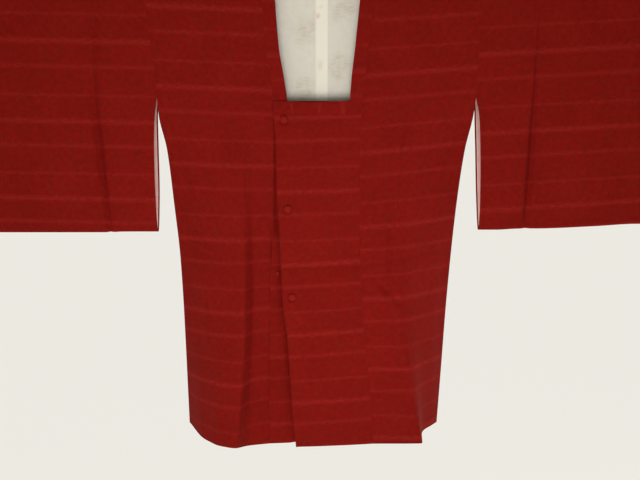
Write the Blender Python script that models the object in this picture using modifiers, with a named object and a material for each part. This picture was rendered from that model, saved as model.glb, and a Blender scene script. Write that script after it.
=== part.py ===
import math

import bmesh
import bpy
import numpy as np

# Metres, +Z up, the front faces -Y. The origin is where a rail holds the hanger's hook.
# The cloth is described by its drop, which is measured down from the shoulder fold.
SHOULDER_Z = -0.110
LENGTH = 0.910
ARMHOLE = 0.232
SIDE_SEAM_TOP = 0.330
NECK_BOTTOM = 0.2391

# Wall thicknesses, and the space left between two pieces that are sewn or laid together
CLOTH = 0.0015
LINING = 0.0010
COLLAR_CLOTH = 0.0020
SEAM = 0.0004
SEAM_STRIP = 0.008
LINING_GAP = 0.0004
LINING_NECK_GAP = 0.0014

# The wooden rod that carries the shoulders, and its wire hook
ROD_RADIUS = 0.0095
ROD_LENGTH = 1.310
ROD_END_ROUND = 0.0015
FOLD_RADIUS = 0.0134
WIRE_RADIUS = 0.0020
HOOK_RADIUS = 0.022
HOOK_SWING = 0.0385
HOOK_SOCKET_DEPTH = 0.008
HOOK_CLEARANCE = 0.0003

# The collar band: its width, how high it stands at the back, and its depth where the panels lap
COLLAR_WIDTH = 0.0243
BACK_NECK_TOP = 0.0022
NECK_CORNER_WIDTH = 0.040
NECK_CORNER_ANGLES = (22, 45, 68, 90)
UNDER_BAND_X = (0.055, 0.020, -0.020)
UNDER_BAND_Y = -0.0140
RIGHT_CORNER_Y = -0.0160
LEFT_CORNER_Y = -0.0168
OVER_BAND_Y = (-0.0190, -0.0212)

# The panels: the under panel's width and soft bow, and how fast the top one steps out over the band
UNDER_PANEL_WIDTH = 0.150
UNDER_PANEL_HEM = 0.910
UNDER_PANEL_TUCK = 0.003
UNDER_PANEL_SPRING = 0.006
LAP_DROP = 0.300
LAP_STEP = 0.35
PANEL_ROWS = 15
PANEL_COLUMNS = 6

# The sleeve bags
SLEEVE_LENGTH = 0.484
SLEEVE_EDGE = 0.645
SLEEVE_BOTTOM_RADIUS = 0.0045
SLEEVE_CORNER_RADIUS = 0.020
SLEEVE_LINING_INSET = 0.002
SLEEVE_BELLY = 0.25
SLEEVE_BELLY_AT = 0.55
CREASE_HALF_WIDTH = 0.022
CREASE_STEP = 0.8
WRIST_OPENING = 0.225
WRIST_PINCH = 0.0018

# The covered buttons, and the dome's profile as shares of their radius and height
BUTTON_RADIUS = 0.0075
BUTTON_HEIGHT = 0.0042
SNAP_RADIUS = 0.0050
SNAP_HEIGHT = 0.0026
BUTTON_STEPS = 20
BUTTON_PROFILE = ((0, 1), (0.45, 0.97), (0.75, 0.80), (0.94, 0.50), (1, 0.25), (0.92, 0), (0, 0))

# Where the back's two soft folds run, as shares of the way from the side to the centre seam
BACK_FOLDS_AT = (0.34, 0.69)
SPAN_STEPS = 3
LOWER_ROWS = 11
FOLD_ANGLES = (-60, -30, 0, 30, 60)
# How far over the rod the collar's inner and outer edges have turned, station by station
COLLAR_TURNS = ((-60, -60), (-30, -30), (0, 0), (14, 30), (25, 60), (33, 90))
# How the collar's top edge comes in and back as it rounds the neck's corner: share of its x, and y
COLLAR_STAND = ((0.985, 0.0082), (0.930, 0.0098), (0.860, 0.0112), (0.760, 0.0124))
UPPER_FRONT_DROPS = (FOLD_RADIUS, 0.070, 0.125, 0.180, 0.212, ARMHOLE, 0.263, 0.295, SIDE_SEAM_TOP)
UPPER_BACK_DROPS = (0.125, 0.180, 0.212, ARMHOLE, 0.263, 0.295, SIDE_SEAM_TOP)
NECK_ROWS_END = 0.070


# A table of sections: one row for each drop, one named column for each measure
def table(columns, rows):
    return dict(zip(columns.split(), np.array(rows, float).T))


# Wearer's right front, seen on the left: side seam, soft bend, crest of the big fold, panel seam
RIGHT_FRONT = table(
    "drop side_x side_y bend_x bend_y crest_x crest_y seam_x seam_y",
    (
        (0.000, -0.3150, -0.0134, -0.2200, -0.0134, -0.1300, -0.0134, -0.1022, -0.0134),
        (0.060, -0.3106, -0.0134, -0.2200, -0.0136, -0.1300, -0.0136, -0.0996, -0.0136),
        (0.150, -0.3025, -0.0131, -0.2200, -0.0140, -0.1300, -0.0143, -0.0922, -0.0146),
        (0.232, -0.2958, -0.0122, -0.2180, -0.0145, -0.1300, -0.0152, -0.0804, -0.0155),
        (0.263, -0.2952, -0.0065, -0.2170, -0.0140, -0.1300, -0.0160, -0.0803, -0.0158),
        (0.330, -0.2865, 0.0060, -0.2150, -0.0115, -0.1305, -0.0180, -0.0812, -0.0158),
        (0.435, -0.2750, 0.0180, -0.2110, -0.0090, -0.1312, -0.0210, -0.0830, -0.0158),
        (0.550, -0.2680, 0.0280, -0.2080, -0.0100, -0.1307, -0.0280, -0.0880, -0.0125),
        (0.660, -0.2665, 0.0365, -0.2100, -0.0120, -0.1400, -0.0370, -0.0920, -0.0090),
        (0.770, -0.2662, 0.0445, -0.2130, -0.0150, -0.1475, -0.0460, -0.0944, -0.0060),
        (0.910, -0.2662, 0.0550, -0.2200, -0.0150, -0.1597, -0.0550, -0.0966, -0.0030),
    ),
)
RIGHT_FRONT_HEM = {"side": 0.902, "bend": 0.909, "crest": 0.906, "seam": 0.917}

# Wearer's left front, seen on the right: side seam, turn behind the ridge, ridge, panel seam
LEFT_FRONT = table(
    "drop side_x side_y turn_x turn_y ridge_x ridge_y seam_x seam_y",
    (
        (0.000, 0.3010, -0.0134, 0.2300, -0.0134, 0.1500, -0.0134, 0.1077, -0.0134),
        (0.060, 0.3000, -0.0134, 0.2300, -0.0136, 0.1500, -0.0136, 0.1036, -0.0136),
        (0.150, 0.2985, -0.0131, 0.2290, -0.0138, 0.1500, -0.0143, 0.0945, -0.0146),
        (0.232, 0.2956, -0.0122, 0.2270, -0.0130, 0.1490, -0.0155, 0.0856, -0.0157),
        (0.263, 0.2935, -0.0065, 0.2260, -0.0115, 0.1490, -0.0163, 0.0830, -0.0162),
        (0.330, 0.2820, 0.0060, 0.2230, -0.0075, 0.1490, -0.0185, 0.0812, -0.0170),
        (0.435, 0.2700, 0.0180, 0.2170, -0.0050, 0.1500, -0.0225, 0.0814, -0.0185),
        (0.550, 0.2645, 0.0280, 0.2080, -0.0040, 0.1525, -0.0275, 0.0836, -0.0205),
        (0.660, 0.2595, 0.0365, 0.2030, -0.0040, 0.1605, -0.0335, 0.0905, -0.0245),
        (0.770, 0.2560, 0.0445, 0.2050, -0.0010, 0.1815, -0.0380, 0.1012, -0.0285),
        (0.910, 0.2515, 0.0550, 0.2140, 0.0060, 0.2118, -0.0420, 0.1120, -0.0320),
    ),
)
LEFT_FRONT_HEM = {"side": 0.900, "turn": 0.902, "ridge": 0.902, "seam": 0.9076}

# The back: how far behind the rod's plane the two soft folds and the centre seam lie
RIGHT_BACK = table(
    "drop outer_y inner_y centre_y",
    (
        (0.000, 0.0134, 0.0134, 0.0134),
        (0.150, 0.0138, 0.0134, 0.0134),
        (0.263, 0.0165, 0.0138, 0.0142),
        (0.435, 0.0300, 0.0185, 0.0210),
        (0.550, 0.0410, 0.0225, 0.0280),
        (0.660, 0.0520, 0.0265, 0.0350),
        (0.770, 0.0620, 0.0305, 0.0420),
        (0.910, 0.0750, 0.0350, 0.0520),
    ),
)
LEFT_BACK = table(
    "drop outer_y inner_y centre_y",
    (
        (0.000, 0.0134, 0.0134, 0.0134),
        (0.150, 0.0136, 0.0136, 0.0134),
        (0.263, 0.0155, 0.0145, 0.0142),
        (0.435, 0.0265, 0.0205, 0.0210),
        (0.550, 0.0360, 0.0250, 0.0280),
        (0.660, 0.0455, 0.0290, 0.0350),
        (0.770, 0.0550, 0.0335, 0.0420),
        (0.910, 0.0670, 0.0390, 0.0520),
    ),
)
BACK_HEM = {"side": 0.901, "outer": 0.905, "inner": 0.908, "centre": 0.909}

# The top panel that laps over from the wearer's left: its free edge, its seam edge and their depths
OVER_PANEL = table(
    "drop free_x free_y swell",
    (
        (0.263, -0.0796, -0.0206, 0.0000),
        (0.331, -0.0755, -0.0216, 0.0008),
        (0.417, -0.0738, -0.0232, 0.0015),
        (0.549, -0.0680, -0.0255, 0.0022),
        (0.616, -0.0651, -0.0265, 0.0025),
        (0.689, -0.0568, -0.0275, 0.0025),
        (0.822, -0.0486, -0.0295, 0.0022),
        (0.910, -0.0413, -0.0310, 0.0020),
    ),
)
OVER_PANEL_HEM = {"free": 0.9138, "seam": 0.9076}

# The neck frame's inner and outer edges on the front, down to its square lower corners
NECK = table(
    "drop right_in right_out left_in left_out depth",
    (
        (FOLD_RADIUS, -0.0775, -0.1018, 0.0830, 0.1073, 0.0134),
        (0.0595, -0.0749, -0.0992, 0.0789, 0.1032, 0.0138),
        (0.1439, -0.0685, -0.0928, 0.0705, 0.0948, 0.0148),
        (0.2083, -0.0580, -0.0824, 0.0636, 0.0879, 0.0156),
        (0.2391, -0.0545, -0.0804, 0.0619, 0.0846, 0.0160),
        (0.2634, -0.0545, -0.0799, 0.0619, 0.0826, 0.0160),
    ),
)

# The sleeves: how deep they are, how deep their crease is, and the lines that it and the open edges follow
SLEEVE_DEPTH = table(
    "drop half_depth crease",
    (
        (0.000, 0.0134, 0.0000),
        (0.060, 0.0134, 0.0006),
        (0.150, 0.0131, 0.0018),
        (0.232, 0.0122, 0.0030),
        (0.300, 0.0112, 0.0042),
        (0.370, 0.0098, 0.0046),
        (0.440, 0.0072, 0.0034),
        (0.484, 0.0045, 0.0000),
    ),
)
RIGHT_SLEEVE = table(
    "drop front_x back_x crease_x",
    (
        (0.232, -0.2962, -0.2962, -0.4074),
        (0.270, -0.3020, -0.2988, -0.4036),
        (0.330, -0.3055, -0.2996, -0.4000),
        (0.400, -0.3067, -0.3004, -0.3962),
        (0.450, -0.3066, -0.3026, -0.3940),
        (0.484, -0.3054, -0.3054, -0.3929),
    ),
)
LEFT_SLEEVE = table(
    "drop front_x back_x crease_x",
    (
        (0.232, 0.2960, 0.2960, 0.4020),
        (0.270, 0.3038, 0.2975, 0.4014),
        (0.330, 0.3082, 0.3010, 0.3994),
        (0.400, 0.3112, 0.3046, 0.3962),
        (0.450, 0.3122, 0.3080, 0.3944),
        (0.484, 0.3115, 0.3115, 0.3938),
    ),
)
RIGHT_CREASE_TOP_X = -0.4190
LEFT_CREASE_TOP_X = 0.4050
RIGHT_SLEEVE_BOTTOM = (0.484, 0.483, 0.487)
LEFT_SLEEVE_BOTTOM = (0.481, 0.4755, 0.467)
SLEEVE_DROPS = (FOLD_RADIUS, 0.070, 0.125, 0.180, 0.212, ARMHOLE, 0.262, 0.310, 0.370, 0.430, 0.4795)
BOTTOM_ANGLES = (30, 90, 150)
WRIST_COLUMNS = ((0.030, SLEEVE_BOTTOM_RADIUS), (0.008, 0.0031), (0.000, WRIST_PINCH))

# Fasteners: how far each one sits from its panel's edge, and how far down
BUTTON_DROPS = (("button_top", 0.2726), ("button_middle", 0.4389), ("button_low", 0.6084))
BUTTON_INSET = 0.0188
SNAP_INSET = 0.0128
SNAP_DROP = 0.5653


# A smooth curve through a few values that never swings past them
def smooth(where, places, values):
    places = np.asarray(places, float)
    values = np.asarray(values, float)
    steps = np.diff(places)
    slopes = np.diff(values) / steps
    tangents = np.concatenate([[slopes[0]], np.zeros(len(slopes) - 1), [slopes[-1]]])
    for i in range(1, len(slopes)):
        if slopes[i - 1] * slopes[i] > 0:
            before = 2 * steps[i] + steps[i - 1]
            after = steps[i] + 2 * steps[i - 1]
            tangents[i] = (before + after) / (before / slopes[i - 1] + after / slopes[i])
    where = np.clip(where, places[0], places[-1])
    span = np.clip(np.searchsorted(places, where) - 1, 0, len(steps) - 1)
    t = (where - places[span]) / steps[span]
    rise = 3 * t**2 - 2 * t**3
    return (
        values[span] * (1 - rise)
        + values[span + 1] * rise
        + steps[span] * tangents[span] * t * (1 - t) ** 2
        - steps[span] * tangents[span + 1] * t**2 * (1 - t)
    )


def read(sections, column, drop):
    return smooth(drop, sections["drop"], sections[column])


def mix(start, end, share):
    return start + (end - start) * share


# One level of a panel as plan points: knots are (x, y, hem drop), with the same number of steps between them.
# The last few millimetres before the seam lie flat, as the pressed seam allowance holds them.
def level(knots, drop):
    knots = np.array(knots, float)
    lengths = np.hypot(*np.diff(knots[:, :2], axis=0).T)
    places = np.concatenate([[0], np.cumsum(np.maximum(lengths, 1e-6))])
    spans = len(knots) - 1
    where = np.interp(np.linspace(0, spans, spans * SPAN_STEPS + 1), range(spans + 1), places)
    x, y, hem = (smooth(where, places, knots[:, k]) for k in range(3))
    drops = drop + (hem - LENGTH) * (drop / LENGTH) ** 3
    points = np.column_stack([x, y, SHOULDER_Z - drops])
    seam_strip = points[-1] - (math.copysign(SEAM_STRIP, x[-1] - x[0]), 0, 0)
    return np.insert(points, -1, seam_strip, axis=0)


# Above the neck frame's lower corner a front ends beside the frame, and below it at its panel's seam
def inner_edge(sections, drop, neck_gap):
    side = "right" if sections["seam_x"][0] < 0 else "left"
    if drop < NECK["drop"][-1]:
        edge = read(NECK, side + "_out", drop)
        return edge + math.copysign(neck_gap, edge)
    return read(sections, "seam_x", drop)


def front_level(sections, lines, hems, drop, neck_gap):
    knots = []
    for line in lines:
        x = read(sections, line + "_x", drop)
        knots.append([x, read(sections, line + "_y", drop), hems[line]])
    knots[-1][0] = inner_edge(sections, drop, neck_gap)
    return level(knots, drop)


# A back level runs from the side to the centre seam, or to the neck's edge above it
def back_level(sections, side, inner_x, drop):
    at_outer, at_inner = BACK_FOLDS_AT
    side_x, side_y = side
    knots = (
        (side_x, side_y, BACK_HEM["side"]),
        (mix(side_x, inner_x, at_outer), read(sections, "outer_y", drop), BACK_HEM["outer"]),
        (mix(side_x, inner_x, at_inner), read(sections, "inner_y", drop), BACK_HEM["inner"]),
        (inner_x, read(sections, "centre_y", drop), BACK_HEM["centre"]),
    )
    return level(knots, drop)


# The back's side edge stays beside the sleeve down to the armhole's end, then comes round to the side seam
def back_side(front, drop):
    side_x = read(front, "side_x", drop)
    side_y = read(front, "side_y", drop)
    if drop <= ARMHOLE:
        return side_x, -side_y
    if drop >= SIDE_SEAM_TOP:
        return side_x, side_y
    share = (drop - ARMHOLE) / (SIDE_SEAM_TOP - ARMHOLE)
    return side_x, mix(-read(front, "side_y", ARMHOLE), read(front, "side_y", SIDE_SEAM_TOP), share**2)


# The back neck is cut as straight edges with a rounded corner: (x, drop) at a few angles round it
def back_neck_cut(neck_x, grow):
    depth = BACK_NECK_TOP + COLLAR_WIDTH + grow - FOLD_RADIUS
    edge = neck_x + math.copysign(grow, neck_x)
    corner = []
    for angle in NECK_CORNER_ANGLES:
        turn = math.radians(angle)
        x = edge - math.copysign(NECK_CORNER_WIDTH, neck_x) * (1 - math.cos(turn))
        corner.append((x, FOLD_RADIUS + depth * math.sin(turn)))
    return corner


def grid(bm, rows):
    rows = np.array(rows)
    down, across = rows.shape[0] - 1, rows.shape[1] - 1
    made = bmesh.ops.create_grid(bm, x_segments=across, y_segments=down, size=0.5)
    for vertex in made["verts"]:
        column = round((vertex.co.x + 0.5) * across)
        row = round((vertex.co.y + 0.5) * down)
        vertex.co = rows[row, column]


# Rows that carry a sheet over the rod, between the top front row and the top back row
def over_rod(front_row, back_row):
    rows = [front_row]
    for angle in FOLD_ANGLES:
        turn = math.radians(angle)
        share = (angle + 90) / 180
        row = mix(front_row, back_row, share)
        row[:, 1] = FOLD_RADIUS * math.sin(turn)
        row[:, 2] = SHOULDER_Z - FOLD_RADIUS * (1 - math.cos(turn))
        rows.append(row)
    return rows + [back_row]


# A body panel is one length of cloth: front, over the shoulder, back, with its sides sewn below the armhole
def body_sheet(front, lines, hems, back, side_sign, lowest_row, neck_gap):
    centre_x = side_sign * SEAM / 2
    lower = []
    for drop in np.linspace(SIDE_SEAM_TOP, LENGTH, LOWER_ROWS + 1)[:lowest_row]:
        front_half = front_level(front, lines, hems, drop, neck_gap)
        back_half = back_level(back, back_side(front, drop), centre_x, drop)
        back_half[0] = front_half[0]
        lower.append(np.concatenate([front_half[::-1], back_half[1:]]))
    upper_front = [front_level(front, lines, hems, drop, neck_gap) for drop in UPPER_FRONT_DROPS]
    upper_front[-1] = lower[0][: len(upper_front[0])][::-1]

    neck_edge = inner_edge(front, 0, neck_gap)
    cut = back_neck_cut(neck_edge - side_sign * neck_gap, neck_gap)
    cut.append((centre_x, cut[-1][1] + SEAM))
    upper_back = [back_level(back, back_side(front, FOLD_RADIUS), neck_edge, FOLD_RADIUS)]
    for count, (inner_x, inner_drop) in enumerate(cut, 1):
        outer_drop = mix(FOLD_RADIUS, NECK_ROWS_END, count / (len(cut) + 1))
        row = back_level(back, back_side(front, outer_drop), inner_x, outer_drop)
        share = np.linspace(0, 1, len(row)) ** 2
        row[:, 2] = SHOULDER_Z - mix(outer_drop, inner_drop, share)
        upper_back.append(row)
    for drop in (NECK_ROWS_END,) + UPPER_BACK_DROPS:
        upper_back.append(back_level(back, back_side(front, drop), centre_x, drop))
    upper_back[-1] = lower[0][len(upper_front[0]) - 1 :]

    bm = bmesh.new()
    grid(bm, lower)
    grid(bm, upper_front)
    grid(bm, upper_back)
    grid(bm, over_rod(upper_front[0], upper_back[0]))
    return joined(bm)


def joined(bm):
    bmesh.ops.remove_doubles(bm, verts=bm.verts, dist=1e-5)
    bmesh.ops.recalc_face_normals(bm, faces=bm.faces)
    foremost = min(bm.faces, key=lambda face: face.calc_center_median().y)
    if foremost.normal.y > 0:
        bmesh.ops.reverse_faces(bm, faces=bm.faces)
    bm.normal_update()
    return bm


# Moves a sheet's points off their own surface, so that a lining follows its cloth
def moved_in(bm, distance):
    moves = [(vertex, vertex.normal * -distance) for vertex in bm.verts]
    for vertex, move in moves:
        vertex.co += move
    bm.normal_update()
    return bm


# A sleeve is a flat bag over the rod: its columns run from the armhole to the wrist
def sleeve_columns(side_sign, body_front, sleeve, crease_top_x, bottoms, drop, layer):
    if drop <= ARMHOLE:
        inner_x = read(body_front, "side_x", drop) + side_sign * SEAM
        crease_x = mix(crease_top_x, sleeve["crease_x"][0], drop / ARMHOLE)
    else:
        inner_x = read(sleeve, layer + "_x", drop)
        crease_x = read(sleeve, "crease_x", drop)
    wrist_x = side_sign * SLEEVE_EDGE
    inner_bottom, crease_bottom, wrist_bottom = bottoms
    half = side_sign * CREASE_HALF_WIDTH
    middle_x = (inner_x + crease_x - half) / 2
    belly_x = mix(crease_x, wrist_x, SLEEVE_BELLY_AT)
    belly_bottom = (crease_bottom + wrist_bottom) / 2
    columns = [
        (inner_x, 0.0, inner_bottom, SLEEVE_BOTTOM_RADIUS),
        (middle_x, 0.0, inner_bottom, SLEEVE_BOTTOM_RADIUS),
        (crease_x - half, 0.0, mix(inner_bottom, crease_bottom, CREASE_STEP), SLEEVE_BOTTOM_RADIUS),
        (crease_x, 1.0, crease_bottom, SLEEVE_BOTTOM_RADIUS),
        (crease_x + half, 0.0, crease_bottom, SLEEVE_BOTTOM_RADIUS),
        (belly_x, -SLEEVE_BELLY, belly_bottom, SLEEVE_BOTTOM_RADIUS),
    ]
    for inset, radius in WRIST_COLUMNS:
        short = max(SLEEVE_CORNER_RADIUS - inset, 0)
        lift = SLEEVE_CORNER_RADIUS - math.sqrt(SLEEVE_CORNER_RADIUS**2 - short**2)
        columns.append((wrist_x - side_sign * inset, 0.0, wrist_bottom - lift, radius))
    return columns


def sleeve_point(column, drop, layer_sign):
    x, crease, bottom, radius = column
    depth = read(SLEEVE_DEPTH, "half_depth", drop)
    if radius < SLEEVE_BOTTOM_RADIUS and drop > WRIST_OPENING:
        depth = radius
    depth = max(depth, radius) - crease * read(SLEEVE_DEPTH, "crease", drop)
    actual = drop + (bottom - SLEEVE_LENGTH) * (drop / SLEEVE_LENGTH) ** 2
    return (x, layer_sign * depth, SHOULDER_Z - actual)


def sleeve_sheet(side_sign, body_front, sleeve, crease_top_x, bottoms, is_lining):
    def row(drop, layer, layer_sign):
        columns = sleeve_columns(side_sign, body_front, sleeve, crease_top_x, bottoms, drop, layer)
        points = np.array([sleeve_point(column, drop, layer_sign) for column in columns])
        if is_lining:
            points = points[:-2]
            points[0, 0] += side_sign * SLEEVE_LINING_INSET
        return points

    front = [row(drop, "front", -1) for drop in SLEEVE_DROPS[::-1]]
    back = [row(drop, "back", 1) for drop in SLEEVE_DROPS]
    around = front[:-1] + over_rod(front[-1], back[0]) + back[1:]
    columns = sleeve_columns(side_sign, body_front, sleeve, crease_top_x, bottoms, SLEEVE_LENGTH, "back")
    radii = np.array([column[3] for column in columns[: len(front[0])]])
    for angle in BOTTOM_ANGLES:
        turn = math.radians(angle)
        share = (1 - math.cos(turn)) / 2
        points = mix(back[-1], front[0], share)
        points[:, 1] = radii * math.cos(turn)
        points[:, 2] -= radii * math.sin(turn)
        around.append(points)
    around.append(front[0])
    bm = bmesh.new()
    grid(bm, around)
    return joined(bm)


def over_panel_edges(drop):
    free = np.array([read(OVER_PANEL, "free_x", drop), read(OVER_PANEL, "free_y", drop)])
    seam = np.array([read(LEFT_FRONT, "seam_x", drop) - SEAM, read(LEFT_FRONT, "seam_y", drop)])
    return free, seam


# A point on the top panel, by its distance from the seam edge as a share of the panel's width
def over_panel_point(share, drop):
    free, seam = over_panel_edges(drop)
    x, y = mix(seam, free, share)
    if drop < LAP_DROP:
        y = mix(seam[1], free[1], min(share / LAP_STEP, 1.0))
    y -= read(OVER_PANEL, "swell", drop) * math.sin(math.pi * share)
    hem = mix(OVER_PANEL_HEM["seam"], OVER_PANEL_HEM["free"], share)
    return np.array([x, y, SHOULDER_Z - drop - (hem - LENGTH) * (drop / LENGTH) ** 3])


def under_panel_point(share, drop):
    seam_x = read(RIGHT_FRONT, "seam_x", drop) + SEAM
    seam_y = read(RIGHT_FRONT, "seam_y", drop)
    tuck = UNDER_PANEL_TUCK * math.sin(math.pi * share / 2)
    y = seam_y + tuck - UNDER_PANEL_SPRING * share * (drop / LENGTH) ** 2
    hem = mix(RIGHT_FRONT_HEM["seam"], UNDER_PANEL_HEM, share)
    actual = drop + (hem - LENGTH) * (drop / LENGTH) ** 3
    return np.array([seam_x + share * UNDER_PANEL_WIDTH, y, SHOULDER_Z - actual])


def panel_sheet(point):
    drops = np.linspace(NECK_BOTTOM + COLLAR_WIDTH, LENGTH, PANEL_ROWS)
    shares = np.linspace(0, 1, PANEL_COLUMNS)
    bm = bmesh.new()
    grid(bm, [[point(share, drop) for share in shares] for drop in drops])
    return joined(bm)


# The neck frame is one band: along the under panel, up the right, round the back, down the left,
# and along the top of the over panel. Each station has an inner point, a middle one and an outer one.
def collar_side(side, drop):
    depth = -read(NECK, "depth", drop)
    inner = (read(NECK, side + "_in", drop), depth, SHOULDER_Z - drop)
    outer = (read(NECK, side + "_out", drop), depth, SHOULDER_Z - drop)
    return with_middle(inner, outer)


def collar_corner(side, depth):
    inner = (NECK[side + "_in"][-1], depth, SHOULDER_Z - NECK_BOTTOM)
    outer = (NECK[side + "_out"][-1], depth, SHOULDER_Z - NECK_BOTTOM - COLLAR_WIDTH + SEAM)
    return with_middle(inner, outer)


def with_middle(inner, outer):
    return inner, mix(np.array(inner), np.array(outer), 0.5), outer


def collar_over_rod(side):
    across = np.linspace(NECK[side + "_in"][0], NECK[side + "_out"][0], 3)
    stations = []
    for inner_angle, outer_angle in COLLAR_TURNS:
        points = []
        for x, angle in zip(across, np.linspace(inner_angle, outer_angle, 3)):
            turn = math.radians(angle)
            drop = FOLD_RADIUS * (1 - math.cos(turn))
            points.append((x, FOLD_RADIUS * math.sin(turn), SHOULDER_Z - drop))
        stations.append(points)
    return stations


# From the shoulder the band turns the neck's corner and stands up along the back
def collar_back(side):
    inner_x = NECK[side + "_in"][0]
    cut = back_neck_cut(NECK[side + "_out"][0], 0.0)
    stations = []
    for (share, inner_y), (outer_x, outer_drop) in zip(COLLAR_STAND, cut):
        top = (inner_x * share, inner_y, SHOULDER_Z - BACK_NECK_TOP)
        inner, middle, outer = with_middle(top, (outer_x, FOLD_RADIUS, SHOULDER_Z - outer_drop))
        stations.append((inner, (middle[0], FOLD_RADIUS, middle[2]), outer))
    return stations


def collar_sheet():
    inner_z = SHOULDER_Z - NECK_BOTTOM
    outer_z = SHOULDER_Z - NECK_BOTTOM - COLLAR_WIDTH + SEAM
    stations = []
    for x in UNDER_BAND_X:
        stations.append(with_middle((x, UNDER_BAND_Y, inner_z), (x, UNDER_BAND_Y, outer_z)))
    side_drops = [drop for drop in UPPER_FRONT_DROPS if drop < NECK_BOTTOM]
    stations.append(collar_corner("right", RIGHT_CORNER_Y))
    stations += [collar_side("right", drop) for drop in side_drops[::-1]]
    stations += collar_over_rod("right") + collar_back("right")
    centre_outer = SHOULDER_Z - BACK_NECK_TOP - COLLAR_WIDTH
    centre_top = (0.0, FOLD_RADIUS, SHOULDER_Z - BACK_NECK_TOP)
    stations.append(with_middle(centre_top, (0.0, FOLD_RADIUS, centre_outer)))
    stations += collar_back("left")[::-1] + collar_over_rod("left")[::-1]
    stations += [collar_side("left", drop) for drop in side_drops]
    stations.append(collar_corner("left", LEFT_CORNER_Y))
    free_x = OVER_PANEL["free_x"][0]
    for share in (0.25, 0.5, 0.75, 1.0):
        x = mix(NECK["left_in"][-1], free_x, share)
        y = mix(*OVER_BAND_Y, share)
        stations.append(with_middle((x, y, inner_z), (x, y, outer_z)))
    bm = bmesh.new()
    grid(bm, [np.array(station) for station in stations])
    return joined(bm)


def material(name, colour, roughness, metallic=0.0):
    made = bpy.data.materials.new(name)
    made.use_nodes = True
    shader = made.node_tree.nodes["Principled BSDF"]
    shader.inputs["Base Color"].default_value = (*colour, 1)
    shader.inputs["Roughness"].default_value = roughness
    shader.inputs["Metallic"].default_value = metallic
    made.diffuse_color = (*colour, 1)
    return made


def add_object(name, mesh, finish, collection):
    obj = bpy.data.objects.new(name, mesh)
    mesh.materials.append(finish)
    collection.objects.link(obj)
    return obj


def add_sheet(name, bm, thickness, finish, collection):
    mesh = bpy.data.meshes.new(name)
    bm.to_mesh(mesh)
    bm.free()
    mesh.shade_smooth()
    obj = add_object(name, mesh, finish, collection)
    wall = obj.modifiers.new("wall", "SOLIDIFY")
    wall.thickness = thickness
    wall.offset = -1
    return obj


# A covered button is a low dome turned about its axis, facing forward
def add_button(name, radius, height, place, finish, collection):
    bm = bmesh.new()
    points = [bm.verts.new((radius * x, 0, height * z)) for x, z in BUTTON_PROFILE]
    for start, end in zip(points, points[1:]):
        bm.edges.new((start, end))
    mesh = bpy.data.meshes.new(name)
    bm.to_mesh(mesh)
    bm.free()
    obj = add_object(name, mesh, finish, collection)
    turned = obj.modifiers.new("turned", "SCREW")
    turned.steps = BUTTON_STEPS
    turned.render_steps = BUTTON_STEPS
    turned.use_merge_vertices = True
    turned.merge_threshold = 0.0001
    obj.rotation_euler = (math.pi / 2, 0, 0)
    obj.location = place
    return obj


def add_fasteners(finish, collection):
    for name, drop in BUTTON_DROPS:
        free, seam = over_panel_edges(drop)
        place = over_panel_point(1 - BUTTON_INSET / (seam[0] - free[0]), drop)
        place[1] -= SEAM
        add_button(name, BUTTON_RADIUS, BUTTON_HEIGHT, place, finish, collection)
    place = under_panel_point(SNAP_INSET / UNDER_PANEL_WIDTH, SNAP_DROP)
    place[1] -= SEAM
    add_button("snap", SNAP_RADIUS, SNAP_HEIGHT, place, finish, collection)


def cylinder(name, radius, depth, segments):
    bm = bmesh.new()
    bmesh.ops.create_cone(
        bm, cap_ends=True, segments=segments, radius1=radius, radius2=radius, depth=depth
    )
    mesh = bpy.data.meshes.new(name)
    bm.to_mesh(mesh)
    bm.free()
    return mesh


# The rod has a socket in the middle of its top for the hook's stem
def add_rod(finish, collection, cutters):
    rod = add_object("hanger_rod", cylinder("hanger_rod", ROD_RADIUS, ROD_LENGTH, 24), finish, collection)
    rod.rotation_euler = (0, math.pi / 2, 0)
    rod.location = (0, 0, SHOULDER_Z - FOLD_RADIUS)
    ends = rod.modifiers.new("rounded ends", "BEVEL")
    ends.width = ROD_END_ROUND
    ends.segments = 2
    ends.limit_method = "ANGLE"
    ends.angle_limit = math.radians(60)

    drill = cylinder("socket_cutter", WIRE_RADIUS + HOOK_CLEARANCE, 2 * HOOK_SOCKET_DEPTH, 16)
    cutter = bpy.data.objects.new("socket_cutter", drill)
    cutter.location = (0, 0, SHOULDER_Z - FOLD_RADIUS + ROD_RADIUS)
    cutter.hide_render = True
    cutter.display_type = "WIRE"
    cutters.objects.link(cutter)
    socket = rod.modifiers.new("socket", "BOOLEAN")
    socket.operation = "DIFFERENCE"
    socket.object = cutter


# The wire rises from the socket, swings out to one side and turns back over the rail
def add_hook(finish, collection):
    bottom = SHOULDER_Z - FOLD_RADIUS + ROD_RADIUS - HOOK_SOCKET_DEPTH + HOOK_CLEARANCE
    centre_z = WIRE_RADIUS - HOOK_RADIUS
    bend_start = centre_z - HOOK_SWING
    path = [(0.0, bottom), (0.0, SHOULDER_Z + 0.010), (0.0, bend_start)]
    for count in range(1, 6):
        share = count / 6
        side = HOOK_RADIUS * (1 - math.cos(math.pi * share)) / 2
        path.append((side, mix(bend_start, centre_z, share)))
    for angle in range(0, 211, 15):
        turn = math.radians(angle)
        path.append((HOOK_RADIUS * math.cos(turn), centre_z + HOOK_RADIUS * math.sin(turn)))
    curve = bpy.data.curves.new("hanger_hook", "CURVE")
    curve.dimensions = "3D"
    curve.bevel_depth = WIRE_RADIUS
    curve.bevel_resolution = 2
    curve.use_fill_caps = True
    spline = curve.splines.new("POLY")
    spline.points.add(len(path) - 1)
    for point, (x, z) in zip(spline.points, path):
        point.co = (x, 0, z, 1)
    add_object("hanger_hook", curve, finish, collection)


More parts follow.
